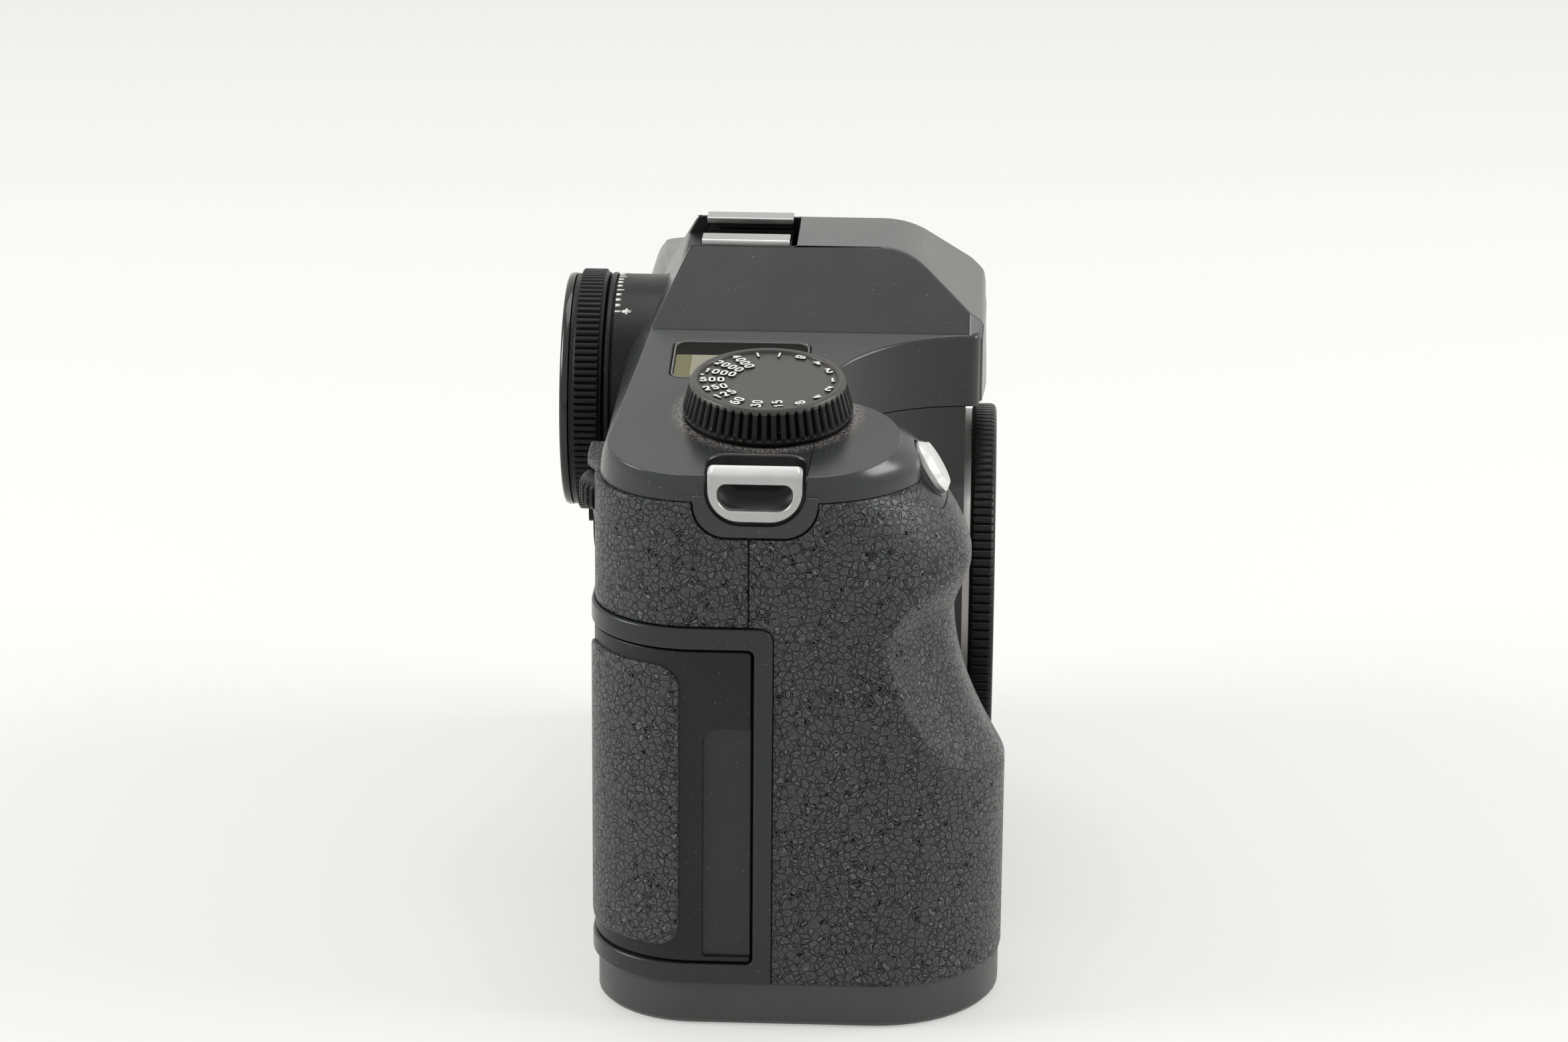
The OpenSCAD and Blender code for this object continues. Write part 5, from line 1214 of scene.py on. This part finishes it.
def ribbon(bm, path, width, low, high, closed=False):
    """Raised stroke of even width along a flat path."""
    count = len(path)
    rows = []
    for i, spot in enumerate(path):
        before = path[i - 1] if closed or i else spot
        after = path[(i + 1) % count] if closed or i < count - 1 else spot
        steps = [v.normalized() for v in (spot - before, after - spot) if v.length > 1e-9]
        along = sum(steps, Vector((0, 0))).normalized()
        across = Vector((-along.y, along.x)) * width / 2 / max(0.5, along.dot(steps[0]))
        rows.append([bm.verts.new((*(spot + across * sign), h))
                     for sign, h in ((1, low), (-1, low), (-1, high), (1, high))])
    for i in range(count if closed else count - 1):
        add_wall(bm, rows[i], rows[(i + 1) % count])
    if not closed:
        bm.faces.new(rows[0])
        bm.faces.new(rows[-1])


def number_strokes():
    """Strokes of the numbers, written towards the centre, with a bar where none stands, and of the dot."""
    start, wide, tall, advance, bar = 11.4, 0.84, 1.5, 1.5, 1.6
    first_turn, pitch, dot_turn, dot_r = 12, 20, math.radians(82), 0.16
    strokes = []
    for k, number in enumerate(SPEEDS):
        turn = math.radians(first_turn + pitch * k)
        right = Vector((-math.cos(turn), -math.sin(turn)))
        up = Vector((math.sin(turn), -math.cos(turn)))
        for place, digit in enumerate(number):
            origin = -right * start + right * advance * place - up * tall / 2
            for corners, closed in DIGITS[digit]:
                path = [origin + right * p.x * wide / 4 + up * p.y * tall / 6
                        for p in rounded(corners, 4, closed)]
                strokes.append((path, closed))
        if not number:
            strokes.append(([-right * start, -right * (start - bar)], False))
    dot = circle(dot_r, 8, (start * math.cos(dot_turn), start * math.sin(dot_turn)))
    strokes.append((dot, True))
    return strokes


def build_dial():
    """Fluted dial with its face inside a raised rim, the top faces lighter as painted light, and its numbers
    as ink on low relief.
    """
    face_h, flute_low, flute_run, draft = 5.6, 1.35, 3.85, 1.05
    sides = [(DIAL_R - draft * t, flute_low + flute_run * t, 1) for t in (i / 10 for i in range(11))]
    profile = [(0, 0.3), (13.7, 0.3), (14.3, 0.42), (DIAL_R, 0.7), (DIAL_R, 1.0), (14.45, 1.15, 0.25)] + sides
    profile += [(13.4, 5.5, 0.75), (13.35, 5.75, 0.4), (13.3, 5.9, 0.12), (13.25, 6.0), (13.1, 6.25),
                (12.9, 6.42), (12.65, 6.5), (12.25, 6.5), (12.05, 6.42), (11.92, 6.2), (11.85, DIAL_FLOOR),
                (0, DIAL_FLOOR)]
    dial = turned("shutter_dial.fluted", profile, DIAL_PLACE, DIAL_FACE, DIAL_TOP_LIT, ribs=(54, 0.8, 0.56),
                  slot="black_plastic")
    # Faces above the face height take the lighter grey: painted light on the dial's top.
    finish_by_height(dial, DIAL_PLACE, lambda height: height > face_h)
    strokes = number_strokes()
    for name, finish, low, high, width in (("dial_relief", DIAL_FACE, -0.1, 0.3, 0.4),
                                           ("dial_numbers", INK, 0.2, 0.33, 0.34)):
        bm = bmesh.new()
        for path, closed in strokes:
            ribbon(bm, path, width, DIAL_FLOOR + low, DIAL_FLOOR + high, closed)
        shape(name, bm, finish, body=body_of("shutter_dial"), place=DIAL_PLACE)


# Eyepiece, buttons, thumb wheel and cap

def build_eyepiece():
    place = facing_back(0, 0, EYE_H)
    bore, sleeve, rim_y = 15.4, 17.4, 42.1
    barrel = [(bore, 18.2), (EYE_R, 18.2), (EYE_R, 34.35), (21.05, 34.5), (20.7, 34.55), (20.7, 34.7),
              (EYE_R, 34.75), (21.4, 34.95), (21.4, 35.5), (EYE_R, 35.75), (sleeve, 35.8), (sleeve, rim_y),
              (bore, rim_y)]
    turned("eyepiece_barrel.turned", barrel, place, PLASTIC, sharp=30)
    ring = [(17.45, 36.1), (21.1, 36.1), (21.4, 36.25), (21.45, 36.6), (21.6, 36.75), (21.9, 36.85, 0.6),
            (22, 37, 1), (22, 40.8, 1), (21.9, 41, 0.6), (21.6, 41.1), (21.2, 41.15), (21.1, 41.3),
            (21.1, 42), (17.45, 42)]
    turned("dioptre_ring.ribbed", ring, place, PLASTIC, ribs=(108, 0.5, 0.62))
    rim = [(bore, rim_y), (20.9, rim_y), (21.2, 42.25), (21.25, 42.6), (21.2, 43.1), (21.0, 43.5),
           (20.6, 43.68), (20.2, 43.7), (17.6, 43.7), (17.2, 43.6), (bore, 42.8)]
    turned("eyepiece_rim.turned", rim, place, GLOSS, sharp=50)


def build_dioptre_scale():
    """Scale on the barrel with a plus and a minus, drawn flat as angle and depth and then rolled."""
    first, last, steps = 57, 123, 16
    long_start, short_start, end = 33.0, 33.4, 34.3
    bm = bmesh.new()

    def mark(angle, y0, y1, width):
        ribbon(bm, [Vector((angle, y0)), Vector((angle, y1))], width, EYE_R - 0.1, EYE_R + 0.06)

    for k in range(steps + 1):
        start, width = (long_start, 0.9) if k % 4 == 0 else (short_start, 1.7)
        mark(first + (last - first) * k / steps, start, end, width)
    for angle in (first, last):
        mark(angle, 31.95, 32.4, width=3.8)
    mark(first, 31.35, 32.95, width=1.6)
    for v in bm.verts:
        turn = math.radians(v.co.x)
        v.co = (-v.co.z * math.cos(turn), v.co.y, EYE_H + v.co.z * math.sin(turn))
    shape("dioptre_scale", bm, INK)


def box_mm(node):
    """Low corner, high corner and centre of a node's box, in millimetres."""
    low, high = (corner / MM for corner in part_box(node))
    return low, high, (low + high) / 2


def build_release_button():
    """Button with a dished top, polished above its satin skirt; the skirt's darker tone is also painted shade
    on the button's side.
    """
    skirt_h = 0.76
    profile = [(0, -3.4), (2, -3.4), (2, -0.2), (4.85, -0.2), (4.95, -0.1), (4.95, 0.72), (4.9, 0.8),
               (4.02, 1.82), (3.94, 1.88), (3.8, 1.9), (3.5, 1.84), (2.4, 1.76), (1.2, 1.72), (0, 1.7)]
    button = turned("release_button.turned", profile, on_pod(), BRIGHT_SILVER, SILVER, segments=96, sharp=18)
    # Skirt faces take the darker satin silver: a real satin finish and painted shade.
    finish_by_height(button, on_pod(), lambda height: height < skirt_h)


def build_push_buttons():
    """Flanged buttons on the back and stemmed ones beside the mount."""
    flange_r, flange_t, button_r, stem_r, head_t = 5.4, 0.9, 4.5, 2.0, 3.0
    for node in [n for n in frame["nodes"] if n.startswith("rear_button")]:
        low, high, centre = box_mm(node)
        depth = high.y - low.y
        profile = [(0, 0), (flange_r, 0), (flange_r, flange_t), (button_r, flange_t)]
        profile += dome(button_r, depth, 0.7)
        profile += [(2.6, depth - 0.12), (0, depth - 0.22)]
        turned(node + ".turned", profile, facing_back(centre.x, low.y, centre.z), SILVER, segments=72)
    for node, radius in (("lens_release_button", 5.5), ("stop_down_button", 3.0)):
        low, high, centre = box_mm(node)
        depth = high.y - low.y
        profile = [(0, 0), (stem_r, 0), (stem_r, depth - head_t), (radius, depth - head_t)]
        profile += dome(radius, depth, 0.6) + [(0, depth - 0.25)]
        turned(node + ".turned", profile, facing_front(centre.x, high.y, centre.z), GLOSS, segments=72)


def build_thumb_wheel():
    low, _, centre = box_mm("thumb_wheel")
    profile = [(0, 0), (6.6, 0), (7.2, 0.15), (7.6, 0.45, 0.2), (7.9, 0.9, 0.9), (8, 1.3, 1), (8, 3.7, 1),
               (7.9, 4.1, 0.9), (7.6, 4.55, 0.2), (7.2, 4.85), (6.6, 5), (0, 5)]
    turned("thumb_wheel.ribbed", profile, at(centre.x, centre.y, low.z), PLASTIC, ribs=(32, 0.7, 0.6))


def build_body_cap():
    profile = [(0, 0), (24.5, 0), (24.5, -4.5), (26.1, -4.5), (26.1, 0), (35, 0), (35.5, 0.12),
               (35.8, 0.4, 0.4), (36, 0.8, 1), (36, 3.5, 1), (35.85, 3.9, 0.5), (35.6, 4.2), (35.2, 4.42),
               (34.7, 4.5), (32.8, 4.5), (32.4, 4.4), (32.1, 4.1), (32, 3.6), (31.4, 3.5), (0, 3.5)]
    turned("body_cap.ribbed", profile, facing_front(0, CAP_Y, AXIS_H), PLASTIC, ribs=(140, 0.4, 0.36))


# Card door and the leather round the grip end

def build_door_frame():
    start, end = along_side(FRAME_Y), along_back(FRAME_END_X)
    window_start, window_end, window_low, window_high = along_side(5.5), along_back(-60.5), 11.5, 68.1
    outline = box_corners(start, BASE_H, end, FRAME_H, 0.5, 0.5, 0.5, 2.2)
    window = box_corners(window_start, window_low, window_end, window_high, 1.1, 0.5, 0.5, 1.1)
    bm = layered_plate(outline, low=-2.2, high=1.0, edge=0.5, hole=window, edge_steps=4)
    wrap_skin(bm)
    shape("card_door_frame.rail", bm, PAINT, slot="black_paint", sharp=40)


def build_card_door():
    """Door plate with a finger recess at its front edge, and the hinge barrel."""
    start, end, floor_h, top_h = along_side(5.9), along_back(HINGE_X), 11.85, 67.75
    recess_end, recess_low, recess_high = -2, 12.8, 54
    hinge_y, hinge_r, hinge_low, hinge_high = 30.9, 2.6, 17.2, 62.4
    backing = box_corners(start, floor_h, end, top_h, 0.6, 0.3, 0.3, 0.6)
    bm = layered_plate(backing, low=-1.4, high=-0.3, edge=0.15)
    for face in bm.faces:
        face.material_index = 1
    raised = [(start, floor_h, 0.5), (end, floor_h, 0.3), (end, top_h, 0.3), (start, top_h, 0.9),
              (start, recess_high, 0.7), (recess_end, recess_high, 2.6), (recess_end, recess_low, 0.5),
              (start, recess_low, 0.3)]
    layered_plate(raised, low=-0.6, high=0.5, edge=0.35, edge_steps=4, bm=bm)
    wrap_skin(bm)
    add_prism(bm, circle(hinge_r, 32, (HINGE_X, hinge_y)), hinge_low, hinge_high)
    # The door's face takes the darker lacquer as painted shade; the backing seen in the finger recess keeps
    # the body's lacquer.
    shape("card_door.plate", bm, DOOR_SHADE_PAINT, PAINT, slot="black_paint", sharp=40)


def build_door_leather():
    start, end, floor_h, top_h, corner = along_side(18), along_back(-68.1), 14.5, 65.1, 4
    outline = box_corners(start, floor_h, end, top_h, corner)
    bm = layered_plate(outline, low=0.4, high=1.05, edge=0.4, edge_steps=4)
    wrap_skin(bm)
    shape("card_door_leatherette.panel", bm, LEATHER, slot="leatherette", sharp=60)


def thumb_rest(x, z):
    """Height of the thumb rest over the rear leather, beside and below the thumb wheel."""
    start_x, side_run = -63.5, 7
    rest_h, rest_run, rest_t = 74, 12, 1.4
    ridge_h, ridge_run, ridge_t = 88, 4, 0.7
    across = ease((x - start_x) / side_run)
    return across * (rest_t * ease((z - rest_h) / rest_run) + ridge_t * ease((z - ridge_h) / ridge_run))


def stations(low, high, count):
    """Places along one side of a sheet, closer together at its rolled edges, with the drop at each."""
    lip = ((0.0, 0.4), (0.1, 0.12), (0.35, 0.0))
    width = lip[-1][0]
    inner = [(low + width + (high - low - 2 * width) * i / count, 0.0) for i in range(1, count)]
    return [(low + d, drop) for d, drop in lip] + inner + [(high - d, drop) for d, drop in reversed(lip)]


def build_rear_grip_cover():
    """Leather round the upper grip end, with rolled edges and thumb rest, cut for the apron and the wheel."""
    end_x, back_face = -49.85, -2.0
    wheel_x, wheel_y, wheel_r, wheel_low, wheel_high = -62.0, 28.5, 8.4, 86.05, 91.75
    columns = stations(along_side(SEAM_Y + EDGE_GAP / 2), along_back(end_x), 70)
    rows = stations(FRAME_H + EDGE_GAP, SPLIT_H, 30)

    def face_spot(s, z, drop):
        rest = thumb_rest(wrapped(s, 0)[0], z) if s > CORNER_RUN else 0
        return (*wrapped(s, COVER_PROUD - drop + rest), z)

    outside = [[face_spot(s, z, max(drop_z, drop_s)) for s, drop_s in columns] for z, drop_z in rows]
    inside = [[(*wrapped(s, back_face), z) for s, _ in columns] for z, _ in rows]
    cover = shape("rear_grip_cover.leather", sheet_shell(outside, inside), LEATHER, slot="leatherette")
    wheel_room = prism_between(circle(wheel_r, 80), wheel_low, wheel_high, at(wheel_x, wheel_y, 0))
    formed(cover, [("DIFFERENCE", apron_room(*RIGHT_LUG)), ("DIFFERENCE", linked("wheel_room", wheel_room))])
    keep_flats_flat(cover, 50)


# Lugs, hot shoe and top display

def build_strap_lug(node, side, reach, y):
    """Pressed D loop with rounded edges and a slanted upper front edge."""
    top = 9.4
    outer = box_corners(-7.9, 0, 7.9, top, 5.4, 5.4, 0.9, 0.9)
    inner = box_corners(-6.2, 1.9, 6.2, 6.5, 2.8, 2.8, 1.4, 1.4)
    low, high, edge = -1.2, 1.0, 0.4
    slant_start = high - 1.5
    levels = [(edge * (1 - math.sin(t)), low + edge * (1 - math.cos(t))) for t in quarter(4)]
    levels += [(0, slant_start)]
    levels += [(edge * (1 - math.cos(t)), high - edge * (1 - math.sin(t))) for t in quarter(4)]
    bm = bmesh.new()
    ends = []
    for corners, sign in ((outer, 1), (inner, -1)):
        loops = []
        for inset, depth in levels:
            limit = top - inset * 0.4 - max(0.0, depth - slant_start)
            loops.append([bm.verts.new((p.x, min(p.y, limit) if sign > 0 else p.y, depth))
                          for p in rounded(shrunk(corners, sign * inset), 10)])
        for a, b in zip(loops, loops[1:]):
            add_wall(bm, a, b)
        ends.append((loops[0], loops[-1]))
    for out, into in zip(*ends):
        add_wall(bm, out, into)
    shape(node + ".loop", bm, SILVER, place=outward(side, reach) @ at(y, LUG_FLOOR_H, 0), sharp=50)


def build_hot_shoe():
    """C-shaped rails with broken edges, dark inside, drawn from the rear end to the front."""
    half, gap, lip_h, top_h = 10.75, 5.8, 118.8, 120
    inner, floor_h, length, rear_y = 9.35, 116.7, 15.7, 18.7
    right = [(half, SHOE_FLOOR_H, 0.3), (half, top_h, 0.5), (gap, top_h, 0.25), (gap, lip_h, 0.25),
             (inner, lip_h, 0.2), (inner, floor_h, 0.2)]
    rails = right + [(-x, z, radius) for x, z, radius in reversed(right)]
    bm = layered_plate(rails, low=0, high=length, edge=0.2, steps=4)
    for face in bm.faces:
        centre = face.calc_center_median()
        face.material_index = int(abs(centre.x) < inner + 0.15 and floor_h - 0.1 < centre.y < lip_h + 0.1)
    shape("hot_shoe.rails", bm, SILVER, GLOSS, place=facing_front(0, rear_y, 0), sharp=40)


def build_top_display():
    """Window in a thin bezel: a dark strip along the prism housing, then an olive field with its lit part."""
    window = box_corners(-8, -11.9, 8, 11.9, 2.2)
    opening = shrunk(window, 0.35)
    field = box_corners(-7.5, -11.4, 2.4, 11.4, 1.6, 0.4, 0.4, 1.6)
    lit = box_corners(-6.6, -10.4, 2.3, 8.6, 0.3)
    place, back = on_plate(*DISPLAY_SPOT), -1.2
    bezel = layered_plate(window, low=-1.3, high=-0.02, edge=0.12, hole=opening)
    shape("top_display_glass.bezel", bezel, BEZEL, place=place, sharp=40)
    for name, outline, face, finish in (("top_display_window", opening, -0.3, DISPLAY_MASK),
                                        ("top_display_panel.field", field, -0.27, OLIVE_DARK),
                                        ("top_display_lit_part", lit, -0.25, OLIVE)):
        field_plate = layered_plate(shrunk(outline, 0.01), low=back, high=face, edge=0.02)
        shape(name, field_plate, finish, place=place, sharp=40)


set_camera()
lay_floor()
light_room()
softbox("overhead softbox", (0.25, 0.1, 1.3), aim=(0.1, 0, 0), size=(0.8, 0.8), watts=5.5)
softbox("left softbox", (-0.2, 1.2, 0.7), aim=(0, 0, 0.05), size=(0.6, 0.6), watts=11)
softbox("front softbox", (0.02, -1.15, 0.75), aim=(0, 0, 0.05), size=(0.8, 0.6), watts=11)
build_grip_cover()
build_release_tongue()
build_top_cover()
build_dial()
build_eyepiece()
build_dioptre_scale()
build_release_button()
build_push_buttons()
build_thumb_wheel()
build_body_cap()
build_door_frame()
build_card_door()
build_door_leather()
build_rear_grip_cover()
build_strap_lug("strap_lug_right", *RIGHT_LUG)
build_strap_lug("strap_lug_left", *LEFT_LUG)
build_hot_shoe()
build_top_display()

# Remaining nodes keep their solid shape, some with broken edges

# The base plate's lacquer is lighter, as painted light.
for node, width, finish in (
        ("base_plate", 0.3, BASE_LIT_PAINT), ("rear_cover", 0.3, PAINT), ("left_cover", 0.2, LEATHER),
        ("front_shell", 0, SHELL), ("mount_barrel", 0, SHELL), ("main_switch", 0, PLASTIC)):
    softened(node, width, finish)

for finish, nodes in (
        (STEEL, ("door_hinge_pin", "tripod_socket", "tripod_socket_large", "lens_mount", "mount_screws",
                 "mirror_pin", "dial_shaft", "thumb_wheel_shaft")),
        (BLACK_METAL, ("door_hinge_carrier", "base_screws", "mirror_holder")),
        (PLASTIC, ("card_slot", "battery", "hot_shoe_contacts", "port_block")),
        (SHELL, ("battery_box", "mirror_box", "shutter_unit")),
        (CLEAR_GLASS, ("focusing_screen", "pentaprism", "eyepiece_lens")),
        (SCREEN, ("image_sensor", "rear_display_glass", "rear_display_panel")),
        (RUBBER, ("port_cover_upper", "port_cover_lower")),
        (SILVER, ("battery_lock",)), (MIRROR, ("reflex_mirror",)), (BOARD, ("main_board",))):
    for node in nodes:
        slots = frame["nodes"][node].data.materials
        slots.clear()
        slots.append(finish)
